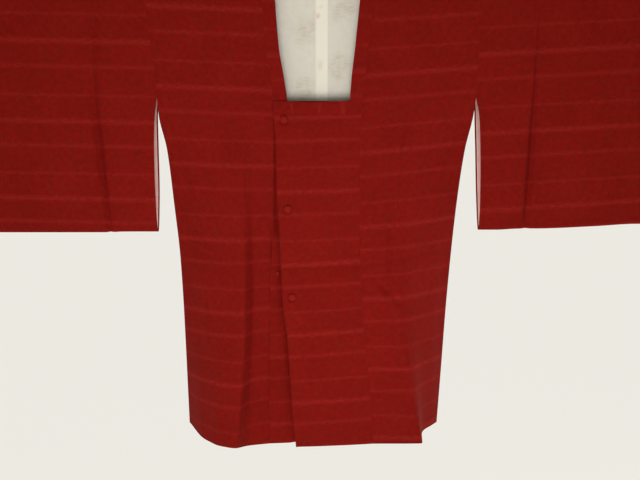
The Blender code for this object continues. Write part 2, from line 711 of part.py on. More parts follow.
def main():
    for obj in list(bpy.data.objects):
        bpy.data.objects.remove(obj, do_unlink=True)
    coat = bpy.data.collections.new("michiyuki_coat")
    cutters = bpy.data.collections.new("cutters")
    bpy.context.scene.collection.children.link(coat)
    bpy.context.scene.collection.children.link(cutters)

    crepe = material("crimson silk crepe", (0.205, 0.007, 0.008), 0.75)
    silk = material("cream lining silk", (0.62, 0.57, 0.48), 0.45)
    wood = material("turned beech", (0.52, 0.33, 0.17), 0.5)
    steel = material("bright steel wire", (0.6, 0.6, 0.6), 0.3, 1.0)

    right_lines = ("side", "bend", "crest", "seam")
    left_lines = ("side", "turn", "ridge", "seam")
    bodies = (
        ("right", RIGHT_FRONT, right_lines, RIGHT_FRONT_HEM, RIGHT_BACK, -1),
        ("left", LEFT_FRONT, left_lines, LEFT_FRONT_HEM, LEFT_BACK, 1),
    )
    for name, front, lines, hems, back, side_sign in bodies:
        outer = body_sheet(front, lines, hems, back, side_sign, LOWER_ROWS + 1, SEAM)
        add_sheet("body_" + name, outer, CLOTH, crepe, coat)
        inner = body_sheet(front, lines, hems, back, side_sign, LOWER_ROWS, LINING_NECK_GAP)
        moved_in(inner, CLOTH + LINING_GAP)
        add_sheet("body_lining_" + name, inner, LINING, silk, coat)

    sleeves = (
        ("right", -1, RIGHT_FRONT, RIGHT_SLEEVE, RIGHT_CREASE_TOP_X, RIGHT_SLEEVE_BOTTOM),
        ("left", 1, LEFT_FRONT, LEFT_SLEEVE, LEFT_CREASE_TOP_X, LEFT_SLEEVE_BOTTOM),
    )
    for name, *measures in sleeves:
        add_sheet("sleeve_" + name, sleeve_sheet(*measures, False), CLOTH, crepe, coat)
        inner = moved_in(sleeve_sheet(*measures, True), CLOTH + LINING_GAP)
        add_sheet("sleeve_lining_" + name, inner, LINING, silk, coat)

    add_sheet("front_panel_under", panel_sheet(under_panel_point), CLOTH, crepe, coat)
    add_sheet("front_panel_over", panel_sheet(over_panel_point), CLOTH, crepe, coat)
    add_sheet("collar", collar_sheet(), COLLAR_CLOTH, crepe, coat)
    add_fasteners(crepe, coat)
    add_rod(wood, coat, cutters)
    add_hook(steel, coat)


main()
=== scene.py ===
import math

import bmesh
import bpy
import mathutils
import numpy as np
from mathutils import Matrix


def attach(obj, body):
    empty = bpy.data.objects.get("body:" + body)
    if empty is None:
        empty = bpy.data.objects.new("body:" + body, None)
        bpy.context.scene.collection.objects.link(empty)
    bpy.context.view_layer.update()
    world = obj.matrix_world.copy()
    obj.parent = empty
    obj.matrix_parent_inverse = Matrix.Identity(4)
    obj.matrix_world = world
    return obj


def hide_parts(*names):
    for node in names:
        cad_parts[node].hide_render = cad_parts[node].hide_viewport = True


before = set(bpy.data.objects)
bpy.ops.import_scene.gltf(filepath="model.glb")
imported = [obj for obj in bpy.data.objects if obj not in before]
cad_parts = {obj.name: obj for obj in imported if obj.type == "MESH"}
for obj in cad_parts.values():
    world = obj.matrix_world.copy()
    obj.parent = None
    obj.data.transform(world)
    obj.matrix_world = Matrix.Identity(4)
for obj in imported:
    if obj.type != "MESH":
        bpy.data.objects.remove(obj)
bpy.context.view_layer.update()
print("frame loaded:", len(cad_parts), "nodes")

# A michiyuki coat that hangs from a rod by its shoulders, in metres. Right and left are the wearer's.


# Small helpers

def table(columns, rows):  # one row for each drop, one named column for each measure
    return dict(zip(columns.split(), np.array(rows, float).T))


def millimetres(columns, rows, plain=()):  # the same with rows in millimetres, apart from the plain columns
    made = table(columns, rows)
    return {name: values if name in plain else values / 1000 for name, values in made.items()}


def stacked(rows):  # rows of points and rows of cloth coordinates, as two grids
    return tuple(np.array(part) for part in zip(*rows))


def mix(start, end, share):
    return start + (end - start) * share


def ease(share):  # 0 to 1 with soft ends
    share = np.clip(share, 0, 1)
    return share * share * (3 - 2 * share)


def ramp(value, start, end):  # 0 before the start, 1 past the end, with soft ends
    return ease((value - start) / (end - start))


def smooth(where, places, values):  # a curve through a few values that never swings past them
    places, values = np.asarray(places, float), np.asarray(values, float)
    steps = np.diff(places)
    slopes = np.diff(values) / steps
    tangents = np.concatenate([[slopes[0]], np.zeros(len(slopes) - 1), [slopes[-1]]])
    for i in range(1, len(slopes)):
        if slopes[i - 1] * slopes[i] > 0:
            before, after = 2 * steps[i] + steps[i - 1], steps[i] + 2 * steps[i - 1]
            tangents[i] = (before + after) / (before / slopes[i - 1] + after / slopes[i])
    where = np.clip(where, places[0], places[-1])
    span = np.clip(np.searchsorted(places, where) - 1, 0, len(steps) - 1)
    t = (where - places[span]) / steps[span]
    start = values[span] + steps[span] * tangents[span] * t * (1 - t) ** 2
    end = values[span + 1] - values[span]
    return start + end * (3 * t**2 - 2 * t**3) - steps[span] * tangents[span + 1] * t**2 * (1 - t)


def read(sections, column, drop):
    return smooth(drop, sections["drop"], sections[column])


def softNoise(x, y, cell, seed):  # slow uneven waves, -1 to 1, with cells of a real size
    values = np.random.RandomState(seed).uniform(-1, 1, (64, 64))
    gx, gy = x / cell + 20.3, y / cell + 11.7
    ix, iy = np.floor(gx).astype(int), np.floor(gy).astype(int)
    fx, fy = ease(gx - ix), ease(gy - iy)
    near = mix(values[ix % 64, iy % 64], values[(ix + 1) % 64, iy % 64], fx)
    far = mix(values[ix % 64, (iy + 1) % 64], values[(ix + 1) % 64, (iy + 1) % 64], fx)
    return mix(near, far, fy)


def rowsBetween(start, end, step, fineEnds=(False, False)):
    rows = np.linspace(start, end, max(2, int(round((end - start) / step)) + 1))
    extra = [start + edgeSteps] * fineEnds[0] + [end - edgeSteps] * fineEnds[1]
    return np.unique(np.round(np.concatenate([rows] + extra), 5))


edgeSteps = np.array((0.0014, 0.0030))  # rows and columns close to an edge, where the cloth rolls over
seamTurn = 0.0016  # at a seam the cloth turns in by this much


# The coat's own measures: drops are metres below the shoulder fold, and the front faces -Y

coat = {
    "shoulderZ": -0.110,
    "length": 0.910,
    "armhole": 0.232,
    "sideSeamTop": 0.330,
    "liningEnd": 0.857,
    "cloth": 0.0012,
    "lining": 0.0008,
    "liningGap": 0.0006,
    "liningNeckGap": 0.0014,
    "liningSidePull": (0.0015, 0.012),  # at the armhole, and below it
    "liningPullDrops": (0.27, 0.32),
    "seam": 0.00001,  # the room between two pieces that are sewn together
    "seamStrip": (0.008, 0.0208),  # beside a front seam the cloth lies flat, and past the strip it is free
    "seamStripEnd": (0.27, 0.33),  # drops between which the strip ends
    "foldRadius": 0.0134,
    "clearOfRod": 0.0334,  # below this drop a seam turns in as it does elsewhere
    "sideCalm": 0.03,  # near the side seam the folds die out
    "edgeRound": 0.0004,
    "thinEdgeRound": 0.0003,
    "neckRowsEnd": 0.070,
    "backFoldsAt": (0.34, 0.69),  # shares of the way from the side to the centre
    "seamRoll": 0.0002,
    "seamRollWidth": 0.0025,
}

rightFront = millimetres("drop side_x side_y bend_x bend_y crest_x crest_y foot_x foot_y seam_x seam_y", (
    # the crest is the edge of a long fold, and the foot lies in its shade
    (0, -315, -13.4, -220, -13.4, -130, -13.4, -120, -13.4, -102.2, -13.4),
    (60, -310.6, -13.4, -220, -13.6, -130, -13.6, -119, -13.6, -99.6, -13.6),
    (150, -302.5, -13.1, -220, -14, -132, -14.3, -120, -14.4, -92.2, -14.6),
    (232, -295.8, -12.2, -218, -14.5, -135, -15.2, -122, -15, -80.4, -15.5),
    (263, -295.2, -6.5, -217, -14, -136.5, -16.6, -120, -16, -80.3, -15.8),
    (330, -284.3, 6, -215, -11.5, -138.5, -20.6, -120.5, -16.8, -81.2, -15),
    (435, -276.8, 18, -211, -9, -139.5, -26.4, -121, -17.2, -83, -12.5),
    (550, -269.8, 28, -208, -10, -139.5, -31.6, -121, -14, -88, -6.6),
    (660, -268, 36.5, -210, -12, -141.5, -38.4, -123.5, -15, -92, -4),
    (770, -267.7, 44.5, -213, -15, -147.5, -46.5, -129.5, -19.5, -94.4, -3.5),
    (910, -267.7, 55, -220, -15, -159.7, -55, -142, -23, -96.6, -3),
))
rightFrontHem = {"side": 0.902, "bend": 0.911, "crest": 0.907, "foot": 0.918, "seam": 0.922}

leftFront = millimetres("drop side_x side_y turn_x turn_y ridge_x ridge_y seam_x seam_y", (
    (0, 301, -13.4, 230, -13.4, 150, -13.4, 107.7, -13.4),
    (60, 300, -13.4, 230, -13.6, 150, -13.6, 103.6, -13.6),
    (150, 298.5, -13.1, 229, -13.8, 150, -14.3, 94.5, -14.6),
    (232, 295.6, -12.2, 227, -13, 149, -15.5, 85.6, -15.7),
    (263, 293.5, -6.5, 226, -11.5, 149, -16.3, 83, -16.2),
    (330, 282, 6, 223, -7.5, 149, -18.5, 81.2, -17),
    (435, 271.8, 18, 217, -5, 150, -22.5, 81.4, -18.5),
    (550, 264.5, 27, 209, -4.5, 152.5, -27, 83.6, -20.5),
    (660, 259.5, 35, 207, -5.5, 160, -32, 90.5, -24.5),
    (770, 256, 42.5, 211, -4, 179, -36, 101.2, -28.5),
    (910, 251.5, 53, 214.5, 6, 207.1, -41, 112, -32),
))
leftFrontHem = {"side": 0.900, "turn": 0.9025, "ridge": 0.9035, "seam": 0.9090}

rightBack = millimetres("drop outer_y inner_y centre_y", (
    (0, 13.4, 13.4, 13.4),
    (150, 13.8, 13.4, 13.4),
    (263, 16.5, 13.8, 14.2),
    (435, 30, 18.5, 21),
    (550, 41, 22.5, 28),
    (660, 52, 26.5, 35),
    (770, 62, 30.5, 42),
    (910, 75, 35, 52),
))
leftBack = millimetres("drop outer_y inner_y centre_y", (
    (0, 13.4, 13.4, 13.4),
    (150, 13.6, 13.6, 13.4),
    (263, 15.5, 14.5, 14.2),
    (435, 26.5, 20.5, 21),
    (550, 36, 25, 28),
    (660, 45.5, 29, 35),
    (770, 55, 33.5, 42),
    (910, 67, 39, 52),
))
backHem = {"side": 0.901, "outer": 0.905, "inner": 0.908, "centre": 0.909}

neckEdges = millimetres("drop right_in right_out left_in left_out depth", (
    (13.4, -77.5, -101.8, 83, 107.3, 13.4),
    (59.5, -74.9, -99.2, 78.9, 103.2, 13.8),
    (143.9, -68.5, -92.8, 70.5, 94.8, 14.8),
    (208.3, -58, -82.4, 63.6, 87.9, 15.6),
    (239.1, -54.5, -80.4, 61.9, 84.6, 16),
    (263.4, -54.5, -79.9, 61.9, 82.6, 16),
))


# Creases: from (xStart, dropStart) to (xEnd, dropEnd), bowed sideways at the middle. A height above zero
# stands out from the coat. Skew is one flank's width as a share of the other's, and each crease fades out
# over its tail, a share of its length.

def relief(creases, x, drop):
    total = np.zeros_like(x)
    for row in zip(*creases.values()):
        crease = dict(zip(creases, row))
        runX = crease["xEnd"] - crease["xStart"]
        runDrop = crease["dropEnd"] - crease["dropStart"]
        length = math.hypot(runX, runDrop)
        fromX, fromDrop = x - crease["xStart"], drop - crease["dropStart"]
        along = (fromX * runX + fromDrop * runDrop) / length**2
        across = (fromX * runDrop - fromDrop * runX) / length
        across = across - 4 * crease["bow"] * along * (1 - along)
        tail = crease["tail"]
        fade = ease((along + tail) / tail) * ease((1 + tail - along) / tail)
        width = crease["width"] * np.where(across > 0, crease["skew"], 1)
        total += crease["height"] * fade * np.exp(-((across / width) ** 2))
    return total


frontCreases = millimetres("xStart dropStart xEnd dropEnd bow width skew height tail", (
    (-138.5, 350, -139.5, 620, 0, 15, 0.4, 1.8, 0.25),
    (162.5, 300, 156, 430, 1, 3, 1.2, -1.9, 0.15),
    (141, 420, 138, 600, 1, 6.5, 0.5, -3, 0.15),
    (123, 590, 184, 640, -3, 4.5, 2.2, -3.2, 0.2),
    (140, 610, 206, 665, 2, 8, 1, 1.2, 0.3),
    (-260, 510, -140, 545, -6, 3, 1.3, -1.7, 0.1),
    (-250, 530, -140, 572, 4, 3.5, 1.3, -1, 0.15),
    (-130, 556, 80, 550, 1, 7.5, 0.4, -1.6, 0.06),
    (80, 549, 250, 524, 4, 6, 0.45, -1.5, 0.1),
    (-235, 640, -220, 900, 4, 12, 1, -2.2, 0.25),
    (-190, 720, -195, 905, 3, 11, 1, 1.8, 0.3),
    (235, 560, 240, 900, -4, 12, 1, 1.8, 0.25),
    (-270, 270, -235, 420, 6, 8, 1.2, 1.8, 0.4),
    (265, 270, 235, 430, -6, 8, 1.2, 1.8, 0.4),
), plain=("skew", "tail"))
backCreases = millimetres("xStart dropStart xEnd dropEnd bow width skew height tail", (
    (-250, 528, -5, 548, 4, 3, 1.2, -1.1, 0.08),
    (5, 548, 250, 530, 3, 3, 1.2, -1.1, 0.08),
    (-140, 340, -135, 780, 4, 8, 1.4, -2.2, 0.25),
    (125, 360, 132, 860, -3, 8, 1.4, -2, 0.25),
    (-70, 520, -62, 900, 3, 14, 1, 2, 0.3),
    (65, 560, 58, 900, -3, 13, 1, 1.8, 0.3),
    (-265, 280, -220, 440, 6, 10, 1.2, 1.6, 0.4),
    (262, 280, 220, 430, -6, 10, 1.2, 1.6, 0.4),
    (30, 590, 105, 650, 3, 6, 1.5, -1.5, 0.3),
), plain=("skew", "tail"))

sway = {
    "wide": (0.16, 0.0014, 0.45),  # size across, height, and its size across as a share of that down
    "narrow": (0.045, 0.00035, 0.60),
    "free": (0.03, 0.15),  # drops between which the cloth comes free of the rod
}


def swayed(kind, x, drop, seed):
    size, height, squeeze = sway[kind]
    return height * softNoise(x, squeeze * drop, size, seed)


def folds(creases, x, drop, seed):  # how far the cloth stands out beyond its main form
    height = relief(creases, x, drop) + swayed("wide", x, drop, seed) + swayed("narrow", x, drop, seed + 5)
    return height * ramp(drop, *sway["free"])


def frontRelief(x, drop):
    return folds(frontCreases, x, drop, 4)


def backRelief(x, drop):
    return folds(backCreases, x, drop, 14)


# The cloth's weave pattern runs in metres of cloth: u across it and v down it. Each piece was cut at its
# own place in the repeat: bright is the drop of a bright stripe where x is at. Its weft hangs a little off
# level: slope gives drops, and the degrees at each.

weave = {
    "repeat": 0.142,
    "foldExtra": 0.0077,  # cloth that the turn over the rod takes up
    "bodyRight": {"bright": 0.2157, "at": -0.19, "repeat": 0.1422,
                  "slope": ((0.20, 0.33, 0.48, 0.65), (-2.3, -1.9, 0.4, 3.0))},
    "bodyLeft": {"bright": 0.1908, "at": 0.125, "repeat": 0.1409,
                 "slope": ((0.12, 0.32, 0.55, 0.72), (3.7, 5.6, 4.4, 1.8))},
    "overPanel": {"bright": 0.2682, "at": 0.0065, "repeat": 0.1382, "across": 0.3,
                  "slope": ((0.42, 0.70), (1.7, 4.1))},
    "underPanel": {"bright": 0.3153, "at": -0.080, "repeat": 0.1411, "across": 0.5,
                   "slope": ((0.42,), (2.0,))},
    "sleeveRight": {"bright": 0.1294, "at": -0.53, "repeat": 0.1453, "slope": ((0.3,), (-1.2,))},
    "sleeveLeft": {"bright": 0.1436, "at": 0.52, "repeat": 0.1439, "slope": ((0.3, 0.42), (3.1, 3.8))},
    "lining": {"bright": 0.0, "at": 0.0, "repeat": 0.142, "slope": ((0.3,), (0.0,))},
}


def weaveV(cut, x, drop):  # 0 on a bright stripe, one more repeat at each next one
    tilt = np.tan(np.radians(np.interp(drop, *cut["slope"]))) * (x - cut["at"])
    return (drop + tilt - cut["bright"]) / cut["repeat"] * weave["repeat"]


def weaveBehind(cut, x, drop):  # down the back the pattern runs on from the front's, over the fold
    return weaveV(cut, x, -drop - 2 * weave["foldExtra"])


# Main meshes: a sheet is one or more grids of points with their cloth coordinates

def addToScene(name, data):
    obj = bpy.data.objects.new(name, data)
    bpy.context.scene.collection.objects.link(obj)
    return obj


def smoothObject(name, bm):
    for face in bm.faces:
        face.smooth = True
    mesh = bpy.data.meshes.new(name)
    bm.to_mesh(mesh)
    bm.free()
    return addToScene(name, mesh)


def buildSheet(name, grids, inset=0.0):
    bm = bmesh.new()
    cloth = bm.loops.layers.uv.new("cloth")
    for points, uv in grids:
        rows, columns = points.shape[:2]
        verts = [bm.verts.new(p) for p in points.reshape(-1, 3)]
        flat = uv.reshape(-1, 2)
        for r in range(rows - 1):
            for c in range(columns - 1):
                first = r * columns + c
                corners = (first, first + 1, first + columns + 1, first + columns)
                face = bm.faces.new([verts[k] for k in corners])
                for loop, k in zip(face.loops, corners):
                    loop[cloth].uv = flat[k]
    bmesh.ops.remove_doubles(bm, verts=bm.verts, dist=2e-5)
    bmesh.ops.recalc_face_normals(bm, faces=bm.faces)
    if min(bm.faces, key=lambda face: face.calc_center_median().y).normal.y > 0:
        bmesh.ops.reverse_faces(bm, faces=bm.faces)
    bm.normal_update()
    if inset:
        moves = [(vert, vert.normal * -inset) for vert in bm.verts]
        for vert, move in moves:
            vert.co += move
    return smoothObject(name, bm)


def giveWall(obj, thickness, rounding, material):
    obj.data.materials.append(material)
    wall = obj.modifiers.new("wall", "SOLIDIFY")
    wall.thickness = thickness
    wall.offset = -1
    edge = obj.modifiers.new("edge", "BEVEL")
    edge.width = rounding
    edge.segments = 2
    edge.limit_method = "ANGLE"
    edge.angle_limit = math.radians(65)
    edge.use_clamp_overlap = True


# Body: front, over the shoulder, back, in one length of cloth a side

def pointsAt(x, y, drops):
    return np.column_stack([x, y, coat["shoulderZ"] - drops])


def withHem(drop, hem):  # the hem line is a little off level, and each row above it by its share
    return drop + (hem - coat["length"]) * (drop / coat["length"]) ** 3


def levelPoints(knots, drop, ply):  # a row of cloth through its knots: x, y and the drop of its hem
    knots = np.array(knots, float)
    spans = ply["foldedSpans"] if len(knots) > 4 else ply["spans"]
    lengths = np.hypot(*np.diff(knots[:, :2], axis=0).T)
    places = np.concatenate([[0], np.cumsum(np.maximum(lengths, 1e-6))])
    where = np.interp(np.arange(sum(spans) + 1), np.concatenate([[0], np.cumsum(spans)]), places)
    where = np.sort(np.concatenate([where, edgeSteps, places[-1] - edgeSteps, [places[-1] + seamTurn]]))
    x, y, hem = (smooth(where, places, knots[:, k]) for k in range(3))
    fromSeam = places[-1] - where
    free = mix(ramp(fromSeam, *coat["seamStrip"]), 1, ramp(drop, *coat["seamStripEnd"]))
    y = mix(y[-1], y, free)
    return x, y, withHem(drop, hem), where, fromSeam


def edgeRoll(distance):  # how far a sewn edge sinks in towards its seam, and turns in past it
    sink = coat["seamRoll"] * np.clip(1 - distance / coat["seamRollWidth"], 0, 1) ** 2
    return sink + np.maximum(-distance, 0)


def innerEdge(body, drop, gap):  # the neck, and below it the seam of the front panel
    if drop < neckEdges["drop"][-1]:
        edge = read(neckEdges, body["side"] + "_out", drop)
        return edge + math.copysign(gap, edge)
    return read(body["front"], "seam_x", drop)


def clearOfRod(drop):  # seams lie flat where the cloth goes over the rod
    return ramp(drop, coat["foldRadius"], coat["clearOfRod"])


def pulledIn(sideX, drop, ply):  # a lining is cut narrower, so it clears the side seam
    pull = mix(*coat["liningSidePull"], ramp(drop, *coat["liningPullDrops"])) * ply["isLining"]
    return sideX - math.copysign(pull, sideX)


def sewnEdges(fromSide, fromSeam, drop, ply):  # both sewn edges sink in, the side's down to the armhole
    atSide = edgeRoll(fromSide) * (drop < coat["armhole"])
    return (edgeRoll(fromSeam) + atSide) * clearOfRod(drop) * (not ply["isLining"])


def frontRow(body, drop, cut, ply):
    front = body["front"]
    knots = []
    for name, hem in body["hem"].items():
        knots.append([read(front, name + "_x", drop), read(front, name + "_y", drop), hem])
    knots[0][0] = pulledIn(knots[0][0], drop, ply)
    knots[-1][0] = innerEdge(body, drop, ply["neckGap"])
    x, y, drops, fromSide, fromSeam = levelPoints(knots, drop, ply)
    y = y - frontRelief(x, drops) * ease(fromSide / coat["sideCalm"])
    y = y + sewnEdges(fromSide, fromSeam, drop, ply) + pocketSlit(body["side"], drops, fromSeam)
    return pointsAt(x, y, drops), np.column_stack([np.abs(knots[-1][0]) + fromSeam, weaveV(cut, x, drops)])


pocket = {
    "top": 0.481,
    "bottom": 0.550,
    "open": 0.0022,
    "reach": 0.009,
    "ends": 0.006,
    "fineRows": (-0.004, 0.003, 8),  # closer rows round its lower end
}


def pocketSlit(side, drops, fromSeam):  # the wearer's right front edge sinks in where the pocket opens
    if side == "left":
        return 0.0
    below, above = drops - pocket["top"], pocket["bottom"] - drops
    length = ease(below / pocket["ends"]) * ease(above / pocket["ends"])
    return pocket["open"] * length * np.clip(1 - fromSeam / pocket["reach"], 0, 1) ** 2


def backSide(front, drop):  # mirrors the front at the armhole, and meets it from the side seam's top down
    sideX, sideY = read(front, "side_x", drop), read(front, "side_y", drop)
    if drop <= coat["armhole"]:
        return sideX, -sideY
    if drop >= coat["sideSeamTop"]:
        return sideX, sideY
    share = (drop - coat["armhole"]) / (coat["sideSeamTop"] - coat["armhole"])
    top, low = (read(front, "side_y", d) for d in (coat["armhole"], coat["sideSeamTop"]))
    return sideX, mix(-top, low, share**2)


def backRow(body, innerX, drop, cut, ply):
    sideX, sideY = backSide(body["front"], drop)
    outerAt, innerAt = coat["backFoldsAt"]
    knots = (
        (pulledIn(sideX, drop, ply), sideY, backHem["side"]),
        (mix(sideX, innerX, outerAt), read(body["back"], "outer_y", drop), backHem["outer"]),
        (mix(sideX, innerX, innerAt), read(body["back"], "inner_y", drop), backHem["inner"]),
        (innerX, read(body["back"], "centre_y", drop), backHem["centre"]),
    )
    x, y, drops, fromSide, fromSeam = levelPoints(knots, drop, ply)
    y = y + backRelief(x, drops) * ease(fromSide / coat["sideCalm"])
    y = y - sewnEdges(fromSide, fromSeam, drop, ply)
    return pointsAt(x, y, drops), np.column_stack([abs(innerX) + fromSeam, weaveBehind(cut, x, drops)])


backNeck = {"cornerWidth": 0.040, "depth": 0.0265}


def neckCut(neckX, grow, angles):  # the back neck: straight, with a rounded corner
    depth = backNeck["depth"] + grow - coat["foldRadius"]
    turn = np.radians(angles)
    inward = backNeck["cornerWidth"] * (1 - np.cos(turn)) - grow
    x = neckX - math.copysign(1, neckX) * inward
    return list(zip(x, coat["foldRadius"] + depth * np.sin(turn)))


foldTurns = np.arange(-90, 91, 10)  # degrees round the rod, front to back


def foldGrid(front, back, frontUv, backUv, cut):  # the cloth between the top front row and the top back row
    radius, rows, uvs = coat["foldRadius"], [front], [frontUv]
    for angle in foldTurns[1:-1]:
        turn, share = math.radians(angle), (angle + 90) / 180
        row, uv = mix(front, back, share), mix(frontUv, backUv, share)
        row[:, 1] = radius * math.sin(turn)
        row[:, 2] = coat["shoulderZ"] - radius * (1 - math.cos(turn))
        uv[:, 1] = weaveV(cut, row[:, 0], -radius * turn - weave["foldExtra"])
        rows.append(row)
        uvs.append(uv)
    return np.array(rows + [back]), np.array(uvs + [backUv])


def bodyGrids(side, cut, ply):
    body, sign, gap = bodies[side], -1 if side == "right" else 1, ply["neckGap"]
    centreX = sign * coat["seam"] / 2
    fold, seamTop, step = coat["foldRadius"], coat["sideSeamTop"], ply["rowStep"]
    lowDrops = rowsBetween(seamTop, ply["lowest"], step, (False, True))
    frontDrops = np.concatenate([rowsBetween(fold, seamTop, step)[:-1], lowDrops])
    backDrops = np.concatenate([rowsBetween(coat["neckRowsEnd"], seamTop, step)[:-1], lowDrops])
    frontPoints, frontUv = stacked([frontRow(body, d, cut, ply) for d in frontDrops])

    neckX = innerEdge(body, 0, gap)
    backRows = [backRow(body, neckX, fold, cut, ply)]
    corners = neckCut(neckX - sign * gap, gap, np.linspace(0, 90, 14)[1:])
    corners.append((centreX, corners[-1][1] + coat["seam"]))
    for count, (innerX, innerDrop) in enumerate(corners, 1):
        outerDrop = mix(fold, coat["neckRowsEnd"], count / (len(corners) + 1))
        points, uv = backRow(body, innerX, outerDrop, cut, ply)
        fromSeam = uv[:, 0] - abs(innerX)
        drops = mix(outerDrop, innerDrop, np.clip(1 - fromSeam / fromSeam[0], 0, 1) ** 2)
        points[:, 2] = coat["shoulderZ"] - drops
        uv[:, 1] = weaveBehind(cut, points[:, 0], drops)
        backRows.append((points, uv))
    backPoints, backUv = stacked(backRows + [backRow(body, centreX, d, cut, ply) for d in backDrops])
    backPoints[-len(lowDrops):, 0] = frontPoints[-len(lowDrops):, 0]
    overFold = foldGrid(frontPoints[0], backPoints[0], frontUv[0], backUv[0], cut)
    return [(frontPoints, frontUv), overFold, (backPoints, backUv)]


bodies = {
    "right": {"side": "right", "front": rightFront, "hem": rightFrontHem, "back": rightBack},
    "left": {"side": "left", "front": leftFront, "hem": leftFrontHem, "back": leftBack},
}
outerBody = {
    "isLining": False,
    "inset": 0.0,
    "neckGap": coat["seam"],
    "lowest": coat["length"],
    "spans": (28, 28, 28),  # columns between the lines of a front or back
    "foldedSpans": (22, 28, 14, 20),  # the same where a long fold adds a line
    "rowStep": 0.0046,
}
liningBody = {
    "isLining": True,
    "inset": coat["cloth"] + coat["liningGap"],
    "neckGap": coat["liningNeckGap"],
    "lowest": coat["liningEnd"],
    "spans": (11, 11, 11),
    "foldedSpans": (8, 10, 6, 9),
    "rowStep": 0.011,
}


def makeSheet(kind, side, gridsOf, ply):  # a body or a sleeve, or its lining
    name = kind + "Lining" * ply["isLining"] + side.capitalize()
    cut = weave["lining"] if ply["isLining"] else weave[name]
    return buildSheet(name, gridsOf(side, cut, ply), ply["inset"])


# Sleeves: flat bags over the rod, open at the armhole, at the lower inner edge and at the upper cuff

sleeve = {
    "length": 0.484,
    "edge": 0.645,
    "pastEdge": 0.646,  # its curves run on a little past the cuff
    "lastRow": 0.4795,
    "bottomRadius": 0.0045,
    "cornerRadius": 0.020,
    "creaseHalf": 0.020,
    "creaseSoft": 0.0020,
    "creaseWidens": (0.15, 0.43),
    "creaseShift": 0.006,  # between the front layer's soft folds and the back's
    "creasePower": 1.5,
    "creaseDeeper": {-1: 2.4, 1: 0.15},  # front and back layer
    "notchWidth": 0.0050,
    "creaseGather": 1.6,  # how much closer the columns lie at the crease
    "belly": -0.25,  # the swell between the crease and the cuff, as a share of the crease's depth
    "bellyAt": 0.55,
    "wristCloses": (0.213, 0.243),  # above these drops the cuff is open, and below them sewn
    "swayShare": 0.6,
    "calmBottom": 0.05,
    "calmInner": 0.02,
    "wristPinch": 0.0017,
    "wristReach": 0.030,
    "liningInset": 0.002,
    "curl": 0.62,  # share of its depth that the back layer loses at its open inner edge
    "curlWidth": 0.030,
    "curlEnds": (0.03, 0.04),
    "bottomTurns": (15, 30, 45, 60, 75, 90),
}

sleeveDepth = millimetres("drop half_depth crease", (
    (0, 13.4, 0),
    (60, 13.4, 0.6),
    (150, 13.1, 1.8),
    (232, 12.2, 3.2),
    (300, 11.2, 4.4),
    (370, 9.8, 4.5),
    (440, 7.2, 4),
    (466, 5.6, 2.6),
    (484, 4.5, 0.6),
))
rightSleeve = millimetres("drop front_x back_x crease_x", (
    (232, 296.2, 296.2, 413.5),
    (270, 302, 298.8, 412.2),
    (330, 305.5, 299.6, 407.2),
    (400, 306.7, 300.4, 403.8),
    (450, 306.6, 302.6, 400.5),
    (484, 305.4, 305.4, 396.5),
))
leftSleeve = millimetres("drop front_x back_x crease_x", (
    (232, 296, 296, 405.8),
    (270, 303.8, 297.5, 405.3),
    (330, 308.2, 301, 405),
    (400, 311.2, 304.6, 403.8),
    (450, 312.2, 308, 402.6),
    (484, 311.5, 311.5, 402),
))
sleeves = {
    "right": {
        "sign": -1,
        "front": rightFront,
        "edges": rightSleeve,
        "creaseTop": 0.4110,
        "creaseWidths": (0.0150, 0.0090),  # half of it, at the top and at the bottom
        "bottoms": (0.4864, 0.4879, 0.4880),  # drops of the lower edge: inner end, crease, cuff
        "creaseStep": 0.15,  # share of the step in the bottom line before the crease
        "notch": 0.0012,  # how far the bottom rises at the crease
    },
    "left": {
        "sign": 1,
        "front": leftFront,
        "edges": leftSleeve,
        "creaseTop": 0.4070,
        "creaseWidths": (0.0065, 0.0125),
        "bottoms": (0.4828, 0.4804, 0.4712),
        "creaseStep": 0.80,
        "notch": 0.0008,
    },
}

sleeveCreases = millimetres("xStart dropStart xEnd dropEnd bow width skew height tail", (
    # x is the reach from the coat's centre
    (335, 60, 330, 440, 2, 20, 1, 1, 0.3),
    (470, 80, 476, 430, -4, 26, 1, 1.1, 0.3),
    (545, 200, 552, 470, 3, 12, 1.3, -0.9, 0.3),
    (600, 150, 605, 420, -3, 22, 1, 0.9, 0.3),
    (310, 240, 370, 120, 6, 10, 1.2, -0.6, 0.4),
    (315, 430, 400, 455, 3, 8, 1.2, 0.6, 0.3),
    (420, 455, 560, 440, -3, 9, 1.2, 0.6, 0.3),
), plain=("skew", "tail"))


def sleeveRelief(sign, reach, drop, layer):
    seed = 30 + 10 * sign + layer
    height = relief(sleeveCreases, reach + sleeve["creaseShift"] * layer * sign, drop)
    height = height + sleeve["swayShare"] * swayed("wide", sign * reach, drop, seed)
    height = height + swayed("narrow", reach, drop, seed + 3)
    return height * ramp(drop, *sway["free"]) * ease((sleeve["lastRow"] - drop) / sleeve["calmBottom"])


def sleeveReach(inner, crease, ply):  # columns from the armhole to the cuff, closer where it bends
    half, wrist, edge = sleeve["creaseHalf"], sleeve["edge"], sleeve["wristReach"]
    even = np.linspace(-1, 1, ply["crease"] + 1)
    gathered = np.sign(even) * np.abs(even) ** sleeve["creaseGather"]
    parts = (
        np.linspace(inner, crease - half, ply["inner"] + 1)[:-1],
        crease + half * gathered[:-1],
        np.linspace(crease + half, wrist - edge, ply["outer"] + 1)[:-1],
        wrist - edge * (1 - np.linspace(0, 1, ply["wrist"] + 1) ** 0.5),
        inner + edgeSteps,
    )
    reach = np.sort(np.concatenate(parts))
    if ply["isLining"]:
        reach = mix(inner + sleeve["liningInset"], wrist - edge, (reach - inner) / (wrist - inner))
    return reach


